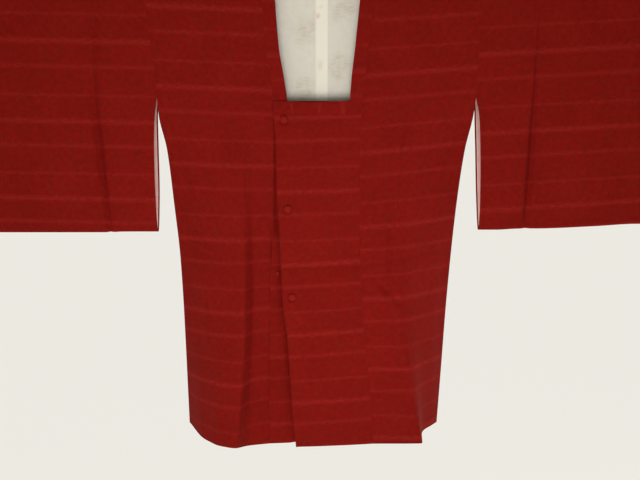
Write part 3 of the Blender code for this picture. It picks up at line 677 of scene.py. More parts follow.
def sleeveBottom(bag, reach, inner, crease, belly):  # the drop of the lower edge under each column
    half, radius = sleeve["creaseHalf"], sleeve["cornerRadius"]
    wristStart = sleeve["edge"] - sleeve["wristReach"]
    inEnd, creaseEnd, wristEnd = bag["bottoms"]
    step = mix(inEnd, creaseEnd, bag["creaseStep"])
    places = (inner, (inner + crease - half) / 2, crease - half, crease, crease + half, belly, wristStart,
              sleeve["pastEdge"])
    ends = (inEnd, inEnd, step, creaseEnd, creaseEnd, (creaseEnd + wristEnd) / 2, wristEnd, wristEnd)
    short = np.maximum(radius - (sleeve["edge"] - reach), 0)
    corner = radius - np.sqrt(radius**2 - short**2)
    notch = bag["notch"] * np.exp(-(((reach - crease) / sleeve["notchWidth"]) ** 2))
    return smooth(reach, places, ends) - corner - notch


def sleeveValley(bag, reach, inner, crease, belly, drop, layer):  # the long crease, and the swell beside it
    wristStart = sleeve["edge"] - sleeve["wristReach"]
    swell = smooth(reach, (inner, crease + sleeve["creaseHalf"], belly, wristStart, sleeve["pastEdge"]),
                   (0, 0, sleeve["belly"], 0, 0))
    width = mix(*bag["creaseWidths"], ramp(drop, *sleeve["creaseWidens"]))
    away = np.hypot(reach - crease, sleeve["creaseSoft"]) / width
    deep = sleeve["creaseDeeper"][layer] * np.clip(1 - away, 0, 1) ** sleeve["creasePower"]
    return (deep + swell) * read(sleeveDepth, "crease", drop)


def sleeveRow(bag, drop, layer, cut, ply):
    edges, sign, atArmhole = bag["edges"], bag["sign"], drop <= coat["armhole"]
    if atArmhole:
        inner = abs(read(bag["front"], "side_x", drop)) + coat["seam"]
        crease = mix(bag["creaseTop"], edges["crease_x"][0], drop / coat["armhole"])
    else:
        inner = read(edges, "front_x" if layer < 0 else "back_x", drop)
        crease = read(edges, "crease_x", drop)
    reach = sleeveReach(inner, crease, ply)
    belly = mix(crease, sleeve["edge"], sleeve["bellyAt"])
    bottom = sleeveBottom(bag, reach, inner, crease, belly)

    halfDepth = read(sleeveDepth, "half_depth", drop)
    narrowing = np.sin(np.pi / 2 * np.clip((sleeve["edge"] - reach) / sleeve["wristReach"], 0, 1))
    pinched = mix(sleeve["wristPinch"], halfDepth, narrowing)
    depth = mix(halfDepth, pinched, ramp(drop, *sleeve["wristCloses"]))
    depth = depth - sleeveValley(bag, reach, inner, crease, belly, drop, layer)
    calm = ease((reach - inner) / sleeve["calmInner"]) * narrowing
    depth = depth + sleeveRelief(sign, reach, drop, layer) * calm
    if atArmhole:
        depth = depth - edgeRoll(reach - inner) * clearOfRod(drop)
    elif layer > 0:
        first, last = sleeve["curlEnds"]
        opened = ease((drop - coat["armhole"]) / first) * ease((sleeve["lastRow"] - drop) / last)
        curl = sleeve["curl"] * np.clip(1 - (reach - inner) / sleeve["curlWidth"], 0, 1) ** 2
        depth = depth * (1 - curl * opened)
    drops = drop + (bottom - sleeve["length"]) * (drop / sleeve["length"]) ** 2
    v = weaveV(cut, sign * reach, drops) if layer < 0 else weaveBehind(cut, sign * reach, drops)
    return pointsAt(sign * reach, layer * depth, drops), np.column_stack([reach - inner, v])


def sleeveGrids(side, cut, ply):
    upper = rowsBetween(coat["foldRadius"], coat["armhole"], ply["rowStep"])
    lower = rowsBetween(coat["armhole"], sleeve["lastRow"], ply["rowStep"])[1:]
    drops = np.concatenate([upper, lower])
    bag = sleeves[side]
    front, back = (stacked([sleeveRow(bag, d, layer, cut, ply) for d in drops]) for layer in (-1, 1))
    radii = np.abs(front[0][-1, :, 1] - back[0][-1, :, 1]) / 2
    middle = (front[0][-1] + back[0][-1]) / 2
    turned = []
    for layer, (points, uv) in ((-1, front), (1, back)):
        rows, uvs = [], []
        for angle in sleeve["bottomTurns"]:
            turn = math.radians(angle)
            row = mix(points[-1], middle, ease(angle / 90))
            row[:, 1] = middle[:, 1] + layer * radii * math.cos(turn)
            row[:, 2] -= sleeve["bottomRadius"] * math.sin(turn)
            rows.append(row)
            uvs.append(uv[-1] - layer * np.array([0, sleeve["bottomRadius"] * turn]))
        turned.append((np.concatenate([points, rows]), np.concatenate([uv, uvs])))
    overFold = foldGrid(front[0][0], back[0][0], front[1][0], back[1][0], cut)
    return [turned[0], overFold, turned[1]]


outerSleeve = {**outerBody, "inner": 20, "crease": 28, "outer": 40, "wrist": 10}
liningSleeve = {**liningBody, "inner": 8, "crease": 8, "outer": 14, "wrist": 3}


# Front panels

overPanel = millimetres("drop free_x free_y swell", (
    (263, -79.6, -18.2, 0),
    (331, -75.5, -20.8, 0.8),
    (417, -73.8, -23.2, 1.5),
    (549, -68, -25.5, 2.2),
    (616, -65.1, -26.5, 2.5),
    (689, -56.8, -27.5, 2.5),
    (822, -48.6, -29.5, 2.2),
    (910, -41.3, -31, 2),
))
panels = {
    "top": 0.2634,
    "columns": 46,
    "overWidth": 0.158,
    "underWidth": 0.150,
    "underTuck": 0.003,
    "underSpring": 0.006,
    "underHem": 0.915,
    "lapStep": 0.35,
    "lapSoft": (0.285, 0.315),
    "overHemFree": 0.9155,
    "overHemSeam": 0.9090,
    "pocketPuff": 0.0012,  # the cloth swells a little at the pocket's mouth
    "puffAt": 0.008,
    "puffWidth": 0.009,
    "puffStarts": (0.481, 0.501),
    "puffEnds": (0.548, 0.552),
    "gutter": 0.0075,  # the under panel lies deeper beside the top panel's free edge
    "gutterWidth": 0.0090,
    "gutterDrops": (0.263, 0.390, 0.450, 0.500, 0.800),
    "gutterShares": (0.40, 0.50, 0.95, 0.80, 0.45),
    "gutterClear": 0.004,
    "gutterAtPocket": 0.3,
    "freeEdgeLift": 0.0012,
    "freeEdgeWidth": 0.012,
}


def panelEdges(drop):
    free = np.array([read(overPanel, "free_x", drop), read(overPanel, "free_y", drop)])
    seam = np.array([read(leftFront, "seam_x", drop) - coat["seam"], read(leftFront, "seam_y", drop)])
    return free, seam


def dimples(x, drop, free):  # the cloth is drawn in below each button, which casts the dark crescent there
    depth = 0
    for centre in buttonDrops.values():
        aside = x - free - button["inset"] + dimple["aside"]
        away = np.hypot(aside, drop - centre - dimple["below"])
        depth = depth + dimple["depth"] * np.exp(-((away / dimple["radius"]) ** 4))
    return depth


def overPanelRow(share, drop, dimpled=True):  # share runs from the seam to the free edge
    free, seam = panelEdges(drop)
    width = seam[0] - free[0]
    x = mix(seam[0], free[0], np.maximum(share, 0))
    stepped = mix(seam[1], free[1], np.minimum(share / panels["lapStep"], 1))
    y = mix(stepped, mix(seam[1], free[1], share), ramp(drop, *panels["lapSoft"]))
    drops = withHem(drop, mix(panels["overHemSeam"], panels["overHemFree"], share))
    atFree = np.clip(1 - (1 - share) * width / panels["freeEdgeWidth"], 0, 1) ** 2
    y = y - read(overPanel, "swell", drop) * np.sin(np.pi * share) - panels["freeEdgeLift"] * atFree
    y = y - frontRelief(x, drops) + edgeRoll(share * width) + edgeRoll(drop - panels["top"] + 0 * share)
    y = y + dimples(x, drop, free[0]) * dimpled
    cut = weave["overPanel"]
    return pointsAt(x, y, drops), np.column_stack([share * width + cut["across"], weaveV(cut, x, drops)])


def underPanelRow(share, drop):
    fromSeam = share * panels["underWidth"]
    x = read(rightFront, "seam_x", drop) + coat["seam"] + np.maximum(fromSeam, 0)
    drops = withHem(drop, mix(rightFrontHem["seam"], panels["underHem"], share))
    atPocket = ramp(drop, *panels["puffStarts"]) * (1 - ramp(drop, *panels["puffEnds"]))
    fromPuff = (fromSeam - panels["puffAt"]) / panels["puffWidth"]
    puff = panels["pocketPuff"] * atPocket * np.exp(-(fromPuff**2))
    fromFree = (x - panelEdges(drop)[0][0]) / panels["gutterWidth"]
    deep = smooth(drop, panels["gutterDrops"], panels["gutterShares"])
    deep = deep * ease(fromSeam / panels["gutterClear"])
    gutter = panels["gutter"] * np.exp(-(fromFree**2)) * deep * mix(1, panels["gutterAtPocket"], atPocket)
    y = read(rightFront, "seam_y", drop) + panels["underTuck"] * np.sin(np.pi * share / 2)
    y = y - panels["underSpring"] * share * (drop / coat["length"]) ** 2
    y = y - frontRelief(x, drops) + edgeRoll(fromSeam) - puff + gutter
    cut = weave["underPanel"]
    return pointsAt(x, y, drops), np.column_stack([fromSeam + cut["across"], weaveV(cut, x, drops)])


def makePanel(name, row, width, buttoned):
    drops = [rowsBetween(panels["top"], coat["length"], outerBody["rowStep"], (True, True))]
    drops += [[panels["top"] - seamTurn], pocket["bottom"] + np.linspace(*pocket["fineRows"])]
    shares = [np.linspace(0, 1, panels["columns"] + 1), edgeSteps / width, 1 - edgeSteps / width,
              [-seamTurn / width]]
    if buttoned:
        near = np.arange(-dimple["reach"], dimple["reach"], dimple["step"])
        drops += [drop + near for drop in buttonDrops.values()]
        shares.append(1 - (button["inset"] + near) / width)
    drops, shares = (np.unique(np.round(np.concatenate(parts), 5)) for parts in (drops, shares))
    return buildSheet(name, [stacked([row(shares, d) for d in drops if d <= coat["length"]])])


# Neck frame: one folded band. Each station has an inner and an outer end, and the band lies between them.

collar = {
    "width": 0.0243,
    "length": 1.02,
    "cloth": 0.0020,
    "top": 0.0022,
    "neckBottom": 0.2391,
    "step": 0.004,
    "crown": 0.0005,
    "sag": 0.0030,
    "cornerRise": 0.0012,
    "underX": (-0.0545, 0.055),  # the bottom band on the under panel, from its corner to its end
    "underY": (-0.0160, -0.0140),
    "overY": (-0.0168, -0.0186, -0.0189, -0.0191, -0.0180),  # the one on the top panel, corner to end
    "cornerBend": 6,
    "bright": {"right": 0.1573, "left": 0.1853, "bottom": 0.049},
    "across": 0.7,
    "acrossBottom": 0.9,
    "mitre": 0.25,  # share of the bottom band over which its corner cut runs out
}
collarTurns = table("step inner outer", (  # round the rod: degrees that each edge has turned
    (0, -90, -90), (1, -60, -60), (2, -30, -30), (3, 0, 0), (4, 14, 30), (5, 25, 60), (6, 33, 90),
))
collarStand = table("angle share y", (  # at the back corner: where the standing inner edge is, in metres
    (0, 1.0, 0.0073), (22, 0.985, 0.0082), (45, 0.930, 0.0098), (68, 0.860, 0.0112), (90, 0.760, 0.0124),
))


def bandPoints(inner, outer, across, lean=None):
    inner, outer = np.array(inner, float), np.array(outer, float)
    points = inner + (outer - inner) * across[:, None]
    if lean is not None:
        points[:, 1] = mix(inner[1], outer[1], lean)
    return points


def bandCloth(across, start, v):  # the band's own cloth coordinates
    return np.column_stack([across * collar["width"] + start, v])


def bandAcross():
    steps = np.array((0.0004, 0.0010, 0.0020)) / collar["width"]
    return np.sort(np.concatenate([np.linspace(0, 1, 11), steps, 1 - steps]))


def collarSide(side, across):  # from the square corner up to the rod
    count = int((collar["neckBottom"] - coat["foldRadius"]) / collar["step"])
    rows = []
    bottomOuter = collar["neckBottom"] + collar["width"] - coat["seam"]
    cornerY = -read(neckEdges, "depth", collar["neckBottom"])
    endY = collar["underY" if side == "right" else "overY"][0]
    rise = collar["cornerRise"] * (side == "left")
    for share in np.linspace(0, 1, count + 1):
        innerDrop = mix(collar["neckBottom"] - rise, coat["foldRadius"], share)
        outerDrop = mix(bottomOuter, coat["foldRadius"], share)
        y = -read(neckEdges, "depth", innerDrop) + (endY - cornerY) * (1 - share) ** collar["cornerBend"]
        y -= (cornerY + read(neckEdges, "depth", innerDrop)) * (share == 0)
        inner = (read(neckEdges, side + "_in", innerDrop), y, coat["shoulderZ"] - innerDrop)
        outer = (read(neckEdges, side + "_out", outerDrop), y, coat["shoulderZ"] - outerDrop)
        row = bandPoints(inner, outer, across)
        drops = coat["shoulderZ"] - row[:, 2]
        row[:, 1] -= frontRelief(row[:, 0], drops)
        rows.append((row, bandCloth(across, collar["across"], drops - collar["bright"][side])))
    return stacked(rows)


def collarBack(side, across):  # over the rod, round the neck's corner and along to the centre
    innerX, outerX = neckEdges[side + "_in"][0], neckEdges[side + "_out"][0]
    radius = coat["foldRadius"]
    rows = []
    for step in np.linspace(0, 6, 25):
        ends = (smooth(step, collarTurns["step"], collarTurns[end]) for end in ("inner", "outer"))
        turns = np.radians(mix(*ends, across))
        x = mix(innerX, outerX, across)
        rows.append(pointsAt(x, radius * np.sin(turns), radius * (1 - np.cos(turns))))
    lean = 1 - (1 - across) ** 3
    angles = np.linspace(0, 90, 13)[1:]
    cuts = neckCut(outerX, 0, angles)
    for angle, (cutX, cutDrop) in zip(angles, cuts):
        share = smooth(angle, collarStand["angle"], collarStand["share"])
        y = smooth(angle, collarStand["angle"], collarStand["y"])
        inner = (innerX * share, y, coat["shoulderZ"] - collar["top"])
        rows.append(bandPoints(inner, (cutX, radius, coat["shoulderZ"] - cutDrop), across, lean))
    lastInner, (lastOuter, lastDrop) = innerX * collarStand["share"][-1], cuts[-1]
    for share in np.linspace(0, 1, 14)[1:]:
        y = mix(collarStand["y"][-1], radius, share)
        inner = (lastInner * (1 - share), y, coat["shoulderZ"] - collar["top"])
        outer = (lastOuter * (1 - share), radius, coat["shoulderZ"] - lastDrop)
        rows.append(bandPoints(inner, outer, across, lean))
    rows = np.array(rows)
    middle = rows[:, len(across) // 2]
    along = np.concatenate([[0], np.cumsum(np.linalg.norm(np.diff(middle, axis=0), axis=1))])
    v = radius - along - collar["bright"][side]
    u = across * collar["width"] + collar["across"]
    return rows, np.stack(np.broadcast_arrays(u, v[:, None]), axis=2)


def collarBottom(startX, endX, depths, across, side):  # along the top of a panel, from its mitred corner
    count = int(abs(endX - startX) / collar["step"])
    zInner = coat["shoulderZ"] - collar["neckBottom"]
    zOuter = zInner - collar["width"] + coat["seam"]
    cornerX, mitreX = neckEdges[side + "_out"][-1], mix(startX, endX, collar["mitre"])
    rows = []
    for share in np.linspace(0, 1, count + 1):
        x = mix(startX, endX, share)
        outerX = mix(cornerX, mitreX, share / collar["mitre"]) if share < collar["mitre"] else x
        y = smooth(share, np.linspace(0, 1, len(depths)), depths)
        sag = collar["sag"] * math.sin(math.pi * share) - collar["cornerRise"]
        row = bandPoints((x, y, zInner - sag * (side == "left")), (outerX, y, zOuter), across)
        row[:, 1] -= frontRelief(row[:, 0], coat["shoulderZ"] - row[:, 2])
        rows.append((row, bandCloth(across, collar["acrossBottom"], collar["bright"]["bottom"] - row[:, 0])))
    return stacked(rows)


def makeCollar():
    across = bandAcross()
    cornerX = read(neckEdges, "left_in", collar["neckBottom"] - collar["cornerRise"])
    grids = [
        collarBottom(*collar["underX"], collar["underY"], across, "right"),
        collarBottom(cornerX, overPanel["free_x"][0], collar["overY"], across, "left"),
    ]
    for side in ("right", "left"):
        grids += [collarSide(side, across), collarBack(side, across)]
    for points, _ in grids:  # the band is a little fuller along its middle
        outward = np.where(points[:, :, 1] > 0.9 * coat["foldRadius"], 1, -1)
        upright = np.abs(points[:, :, 2] - coat["shoulderZ"]) > coat["foldRadius"]
        points[:, :, 1] += outward * upright * collar["crown"] * np.sin(np.pi * across)
    return buildSheet("neckBand", grids)


# Covered buttons: a dome under crepe, gathered at its rim

button = {
    "radius": 0.0075,
    "height": 0.0042,
    "inset": 0.0188,  # from the panel's free edge to the button's middle
    "sides": 48,
    "gathers": 14,
    "gatherDepth": 0.00016,
    "gathersAt": (0.60, 0.95),  # shares of the radius
    "gathersBelow": 0.8,  # share of the height
}
dimple = {
    "radius": 0.0078,
    "depth": 0.0024,
    "below": 0.0026,  # its middle lies this far below the button's, and this far to the side
    "aside": 0.0008,
    "reach": 0.0112,  # rows and columns stand closer within this reach
    "step": 0.0014,
}
snap = {"radius": 0.0050, "height": 0.0026, "inset": 0.0128, "drop": 0.5653}
buttonDrops = {"top": 0.2726, "middle": 0.4389, "low": 0.6084}
domeProfile = (  # from the top to the rim and in below it: share of the radius, share of the height
    (0.2, 0.995), (0.4, 0.97), (0.58, 0.92), (0.74, 0.82), (0.87, 0.67), (0.96, 0.48), (1, 0.28),
    (0.985, 0.12), (0.92, 0),
)


def makeDome(name, points, sizes):
    x, y, z = points[0] - (0, coat["seam"], 0)
    radius, height, sides = sizes["radius"], sizes["height"], button["sides"]
    turns = np.arange(sides) * 2 * np.pi / sides
    bm = bmesh.new()
    rings = []
    for share, rise in domeProfile:
        near = ramp(share, *button["gathersAt"]) * (rise < button["gathersBelow"])
        gathers = 1 - button["gatherDepth"] / radius * near * (1 + np.cos(button["gathers"] * turns))
        out = radius * share * gathers
        ring = zip(x + out * np.cos(turns), z + out * np.sin(turns))
        rings.append([bm.verts.new((ringX, y - height * rise, ringZ)) for ringX, ringZ in ring])
    sidesOn = [(k, (k + 1) % sides) for k in range(sides)]
    for upper, lower in zip(rings, rings[1:]):
        for k, following in sidesOn:
            bm.faces.new((upper[k], upper[following], lower[following], lower[k]))
    for ring, level in ((rings[0], y - height), (rings[-1], y)):
        centre = bm.verts.new((x, level, z))
        for k, following in sidesOn:
            bm.faces.new((ring[k], ring[following], centre))
    bmesh.ops.recalc_face_normals(bm, faces=bm.faces)
    return smoothObject(name, bm)


def makeButtons():
    made = {}
    for name, drop in buttonDrops.items():
        free, seam = panelEdges(drop)
        share = 1 - button["inset"] / (seam[0] - free[0])
        points, _ = overPanelRow(np.array([share]), drop, False)
        made["button_" + name] = makeDome("button" + name.capitalize(), points, button)
    points, _ = underPanelRow(np.array([snap["inset"] / panels["underWidth"]]), snap["drop"])
    made["snap"] = makeDome("snapCap", points, snap)
    return made


# Hanger: a turned rod and a wire hook

hanger = {
    "rodRadius": 0.0095,
    "rodLength": 1.310,
    "rodEndRound": 0.0015,
    "wireRadius": 0.0020,
    "hookRadius": 0.022,
    "hookSwing": 0.0385,
    "socketDepth": 0.008,
    "hookTurn": 210,
    "rodSides": 56,
}


def makeRod():
    end, radius, rounding = hanger["rodLength"] / 2, hanger["rodRadius"], hanger["rodEndRound"]
    corner = [(end - rounding * (1 - math.sin(t)), radius - rounding * (1 - math.cos(t)))
              for t in np.linspace(math.pi / 2, 0, 6)]
    half = [(end, 0.0)] + corner + [(x, radius) for x in np.linspace(end - 0.03, 0, 12)]
    profile = half + [(-x, r) for x, r in half[-2::-1]]
    bm = bmesh.new()
    verts = [bm.verts.new((x, r, 0)) for x, r in profile]
    edges = [bm.edges.new(pair) for pair in zip(verts, verts[1:])]
    bmesh.ops.spin(bm, geom=verts + edges, cent=(0, 0, 0), axis=(1, 0, 0), angle=2 * math.pi,
                   steps=hanger["rodSides"])
    bmesh.ops.remove_doubles(bm, verts=bm.verts, dist=1e-5)
    bmesh.ops.translate(bm, vec=(0, 0, coat["shoulderZ"] - coat["foldRadius"]), verts=bm.verts)
    bmesh.ops.recalc_face_normals(bm, faces=bm.faces)
    turned = smoothObject("hangerRod", bm)
    turned.data.set_sharp_from_angle(angle=math.radians(50))
    return turned


def makeHook():
    rodTop = coat["shoulderZ"] - coat["foldRadius"] + hanger["rodRadius"]
    radius = hanger["hookRadius"]
    centreZ = hanger["wireRadius"] - radius
    bendStart = centreZ - hanger["hookSwing"]
    path = [(0.0, z) for z in np.linspace(rodTop - hanger["socketDepth"] + 0.0003, bendStart, 8)]
    for share in np.linspace(0, 1, 16)[1:-1]:
        side = radius * (1 - math.cos(math.pi * share)) / 2
        path.append((side, mix(bendStart, centreZ, share)))
    for angle in range(0, hanger["hookTurn"] + 1, 5):
        turn = math.radians(angle)
        path.append((radius * math.cos(turn), centreZ + radius * math.sin(turn)))
    curve = bpy.data.curves.new("hookPath", "CURVE")
    curve.dimensions = "3D"
    curve.bevel_depth = hanger["wireRadius"]
    curve.bevel_resolution = 5
    curve.use_fill_caps = True
    spline = curve.splines.new("POLY")
    spline.points.add(len(path) - 1)
    for point, (x, z) in zip(spline.points, path):
        point.co = (x, 0, z, 1)
    swept = addToScene("hookPath", curve)
    graph = bpy.context.evaluated_depsgraph_get()
    bent = bpy.data.meshes.new_from_object(swept.evaluated_get(graph))
    bm = bmesh.new()
    bm.from_mesh(bent)
    bmesh.ops.remove_doubles(bm, verts=bm.verts, dist=1e-6)
    bmesh.ops.recalc_face_normals(bm, faces=bm.faces)
    bpy.data.objects.remove(swept, do_unlink=True)
    bpy.data.curves.remove(curve)
    bpy.data.meshes.remove(bent)
    return smoothObject("hangerHook", bm)


# Materials

def linear(hexColour):  # sRGB hex to linear
    channels = [int(hexColour[k:k + 2], 16) / 255 for k in (0, 2, 4)]
    return tuple(c / 12.92 if c <= 0.04045 else ((c + 0.055) / 1.055) ** 2.4 for c in channels) + (1,)


def addNode(tree, kind, inputs=(), **settings):
    node = tree.nodes.new(kind)
    for name, value in settings.items():
        setattr(node, name, value)
    for socket, value in dict(inputs).items():
        if isinstance(value, bpy.types.NodeSocket):
            tree.links.new(value, node.inputs[socket])
        else:
            node.inputs[socket].default_value = value
    return node


def newMaterial(name, **shader):
    material = bpy.data.materials.new(name)
    material.use_nodes = True
    tree = material.node_tree
    principled = tree.nodes["Principled BSDF"]
    for socket, value in shader.items():
        principled.inputs[socket.replace("_", " ")].default_value = value
    return material, tree, principled


# The next six each add one node and give its output

def calc(tree, operation, first, second=0.0, third=0.0, **settings):
    inputs = {0: first, 1: second, 2: third}
    return addNode(tree, "ShaderNodeMath", inputs, operation=operation, **settings).outputs[0]


def vector(tree, operation, first, second=(0, 0, 0)):
    node = addNode(tree, "ShaderNodeVectorMath", {0: first, 1: second}, operation=operation)
    return node.outputs[1 if operation == "LENGTH" else 0]


def spread(tree, value, start, end, low=0.0, high=1.0, kind="LINEAR"):  # from one range to another
    inputs = {0: value, 1: start, 2: end, 3: low, 4: high}
    return addNode(tree, "ShaderNodeMapRange", inputs, interpolation_type=kind).outputs[0]


def noise(tree, place, scale, detail, **more):
    inputs = {"Vector": place, "Scale": scale, "Detail": detail, **more}
    return addNode(tree, "ShaderNodeTexNoise", inputs).outputs[0]


def blend(tree, share, first, second):
    first, second = (linear(colour) if isinstance(colour, str) else colour for colour in (first, second))
    return addNode(tree, "ShaderNodeMix", {0: share, 6: first, 7: second}, data_type="RGBA").outputs[2]


def stretched(tree, place, scale):
    return addNode(tree, "ShaderNodeMapping", {"Vector": place, "Scale": scale}).outputs[0]


def cover(tree, shader, colour, height, distance, strength):  # the colour, and the bumps of its surface
    tree.links.new(colour, shader.inputs["Base Color"])
    bump = addNode(tree, "ShaderNodeBump", {"Height": height, "Distance": distance, "Strength": strength})
    tree.links.new(bump.outputs[0], shader.inputs["Normal"])


crepe = {
    "ground": "87110B",
    "warm": "7D180F",
    "stripe": "8C1C17",
    "shade": "740D08",
    "stripes": ((0.0, 0.0095, 0.86), (0.31, 0.0080, 0.62), (0.67, 0.0060, 0.54)),  # place, width, strength
    "edge": (0.0, 1.7),  # where a stripe starts and ends to fade, as shares of its half width
    "wander": (55.0, 0.0013),  # how often a stripe strays, and how far
    "blobs": (105.0, 240.0, 1.0),  # the stripes are woven in short floats, longer across than down
    "blobLevels": (0.34, 0.66, 0.30, 1.20),  # noise from, to, and stripe strength from, to
    "motifPeriod": 0.034,
    "motifDepth": 0.016,
    "motifStrength": 0.26,
    "motifFade": 0.55,  # share of its depth from which the tongues fade out
    "lean": 0.85,  # the tongues lean to either side in turn, this far across for each length down
    "tongue": (0.0014, 0.0040),  # half width, and where its edge has faded out
    "spots": ((0.5, 0.027, 0.0032, 0.0026), (0.0, 0.0405, 0.0022, 0.0034)),  # shift, drop, width, height
    "spotFade": (0.6, 1.5, 0.9),  # from and to in spot sizes, and the strength
    "grain": 0.0026,  # crepe pebbles are nearer 0.5 mm, drawn coarse enough to show
    "cloud": 14.0,  # wide uneven tone, in waves a metre
    "patch": 0.0095,
    "dulls": ((0.34, 0.70, 0.60), (0.35, 0.65, 0.30), (0.36, 0.66, 0.45)),  # of grain, cloud and patch
    "warmth": (0.44, 0.60, 0, 0.8),
    "raised": 0.8,  # the stripes stand above the ground by this share of the grain
}


def crepeMaterial(name):
    # Silk crepe: matt, pebbled, with a faint pale bloom where it turns away
    material, tree, shader = newMaterial(name, Roughness=0.84, Specular_IOR_Level=0.08, Sheen_Weight=0.010,
                                         Sheen_Roughness=0.45, Sheen_Tint=linear("E09A88"))
    cloth = addNode(tree, "ShaderNodeUVMap", uv_map="cloth").outputs[0]
    u, v, _ = addNode(tree, "ShaderNodeSeparateXYZ", {0: cloth}).outputs
    repeat = weave["repeat"]

    scale, stray = crepe["wander"]
    wandered = calc(tree, "ADD", v, spread(tree, noise(tree, cloth, scale, 2.0), 0, 1, -stray, stray))
    blobs = noise(tree, stretched(tree, cloth, crepe["blobs"]), 1.0, 2.0)
    blobLevel = spread(tree, blobs, *crepe["blobLevels"])
    stripes = 0.0
    for place, width, strength in crepe["stripes"]:
        part = calc(tree, "FRACT", calc(tree, "MULTIPLY_ADD", wandered, 1 / repeat, 0.5 - place))
        away = calc(tree, "ABSOLUTE", calc(tree, "SUBTRACT", part, 0.5))
        fadeFrom, fadeTo = (width / 2 / repeat * share for share in crepe["edge"])
        stripe = spread(tree, away, fadeFrom, fadeTo, strength, 0, "SMOOTHSTEP")
        stripes = calc(tree, "MAXIMUM", stripes, stripe)
    stripes = calc(tree, "MULTIPLY", stripes, blobLevel)

    # The figured zone below the thin stripe: slanted tongues, a row of dots and a row of teeth
    period, depth, thinStripe = crepe["motifPeriod"], crepe["motifDepth"], crepe["stripes"][-1][0]
    zone = calc(tree, "FRACT", calc(tree, "MULTIPLY_ADD", v, 1 / repeat, 1 - thinStripe))
    below = calc(tree, "MULTIPLY", zone, repeat)
    cell = calc(tree, "MULTIPLY", u, 1 / period)
    centred = calc(tree, "MULTIPLY_ADD", calc(tree, "FRACT", cell), period, -period / 2)
    odd = calc(tree, "FLOORED_MODULO", calc(tree, "FLOOR", cell), 2.0)
    lean = spread(tree, odd, 0, 1, -crepe["lean"], crepe["lean"])
    line = calc(tree, "MULTIPLY", calc(tree, "ADD", below, -depth / 2), lean)
    aside = calc(tree, "ABSOLUTE", calc(tree, "SUBTRACT", centred, line))
    tongue = spread(tree, aside, *crepe["tongue"], 1, 0, "SMOOTHSTEP")
    fade = spread(tree, below, depth * crepe["motifFade"], depth, 1, 0, "SMOOTHSTEP")
    figures = calc(tree, "MULTIPLY", tongue, fade)
    for shift, drop, wide, tall in crepe["spots"]:
        spot = calc(tree, "FRACT", calc(tree, "MULTIPLY_ADD", u, 1 / period, shift))
        spotX = calc(tree, "MULTIPLY_ADD", spot, period / wide, -period / wide / 2)
        spotY = calc(tree, "MULTIPLY_ADD", below, 1 / tall, -drop / tall)
        point = addNode(tree, "ShaderNodeCombineXYZ", {0: spotX, 1: spotY}).outputs[0]
        dot = spread(tree, vector(tree, "LENGTH", point), *crepe["spotFade"], 0, "SMOOTHSTEP")
        figures = calc(tree, "MAXIMUM", figures, dot)
    figures = calc(tree, "MULTIPLY", calc(tree, "MULTIPLY", figures, blobLevel), crepe["motifStrength"])
    pattern = calc(tree, "ADD", stripes, figures, use_clamp=True)

    grain = noise(tree, cloth, 1 / crepe["grain"], 3.0)
    cloud = noise(tree, cloth, crepe["cloud"], 3.0)
    patch = noise(tree, cloth, 1 / crepe["patch"], 2.0)
    dull = 0.0
    for texture, (least, most, deep) in zip((grain, cloud, patch), crepe["dulls"]):
        dull = calc(tree, "ADD", dull, spread(tree, texture, least, most, 0, deep), use_clamp=True)
    tint = noise(tree, cloth, 0.7 / crepe["patch"], 2.0, Distortion=0.6)
    silk = blend(tree, spread(tree, tint, *crepe["warmth"]), crepe["ground"], crepe["warm"])
    colour = blend(tree, pattern, blend(tree, dull, silk, crepe["shade"]), crepe["stripe"])
    cover(tree, shader, colour, calc(tree, "MULTIPLY_ADD", pattern, crepe["raised"], grain), 0.0005, 0.55)
    return material


lining = {
    "cream": "E4E1D9",
    "cloud": "D3CCBF",
    "seamBand": "F3F1E6",
    "pink": "E0ABA2",
    # pale pink: partly the silk's own tint, partly painted red light bounced off the crepe
    "sleevePinkAndBounce": "EAB2AE",
    "bandEdges": (-0.0016, 0.0207),
    "bandBehind": 0.004,  # the band is in the back alone
    "tile": (0.165, 1.0, 0.200),
    "clouds": (  # x, drop, half width, half height
        (-0.0235, 0.112, 0.023, 0.024),
        (-0.0200, 0.214, 0.019, 0.023),
        (0.0430, 0.175, 0.024, 0.024),
        (0.0510, 0.073, 0.027, 0.019),
    ),
    "flowers": (  # x, drop, half width, half height, strength
        (0.0093, 0.068, 0.0045, 0.0045, 0.25),
        (0.0028, 0.084, 0.0055, 0.0065, 0.42),
        (0.0065, 0.173, 0.0080, 0.0140, 0.22),
    ),
    "wave": 0.0062,
    "stray": (34.0, 0.034),  # how often a cloud's edge strays, and how far
    "weave": 900.0,
}


def liningShader(name):
    material, tree, shader = newMaterial(name, Roughness=0.5, Specular_IOR_Level=0.25)
    return material, tree, shader, addNode(tree, "ShaderNodeTexCoord").outputs["Object"]


def spotAt(tree, place, halfX, halfZ, inner, outer, strength):  # an oval that fades out round the origin
    sized = vector(tree, "MULTIPLY", place, (1 / halfX, 0, 1 / halfZ))
    return spread(tree, vector(tree, "LENGTH", sized), inner, outer, strength, 0, "SMOOTHSTEP")


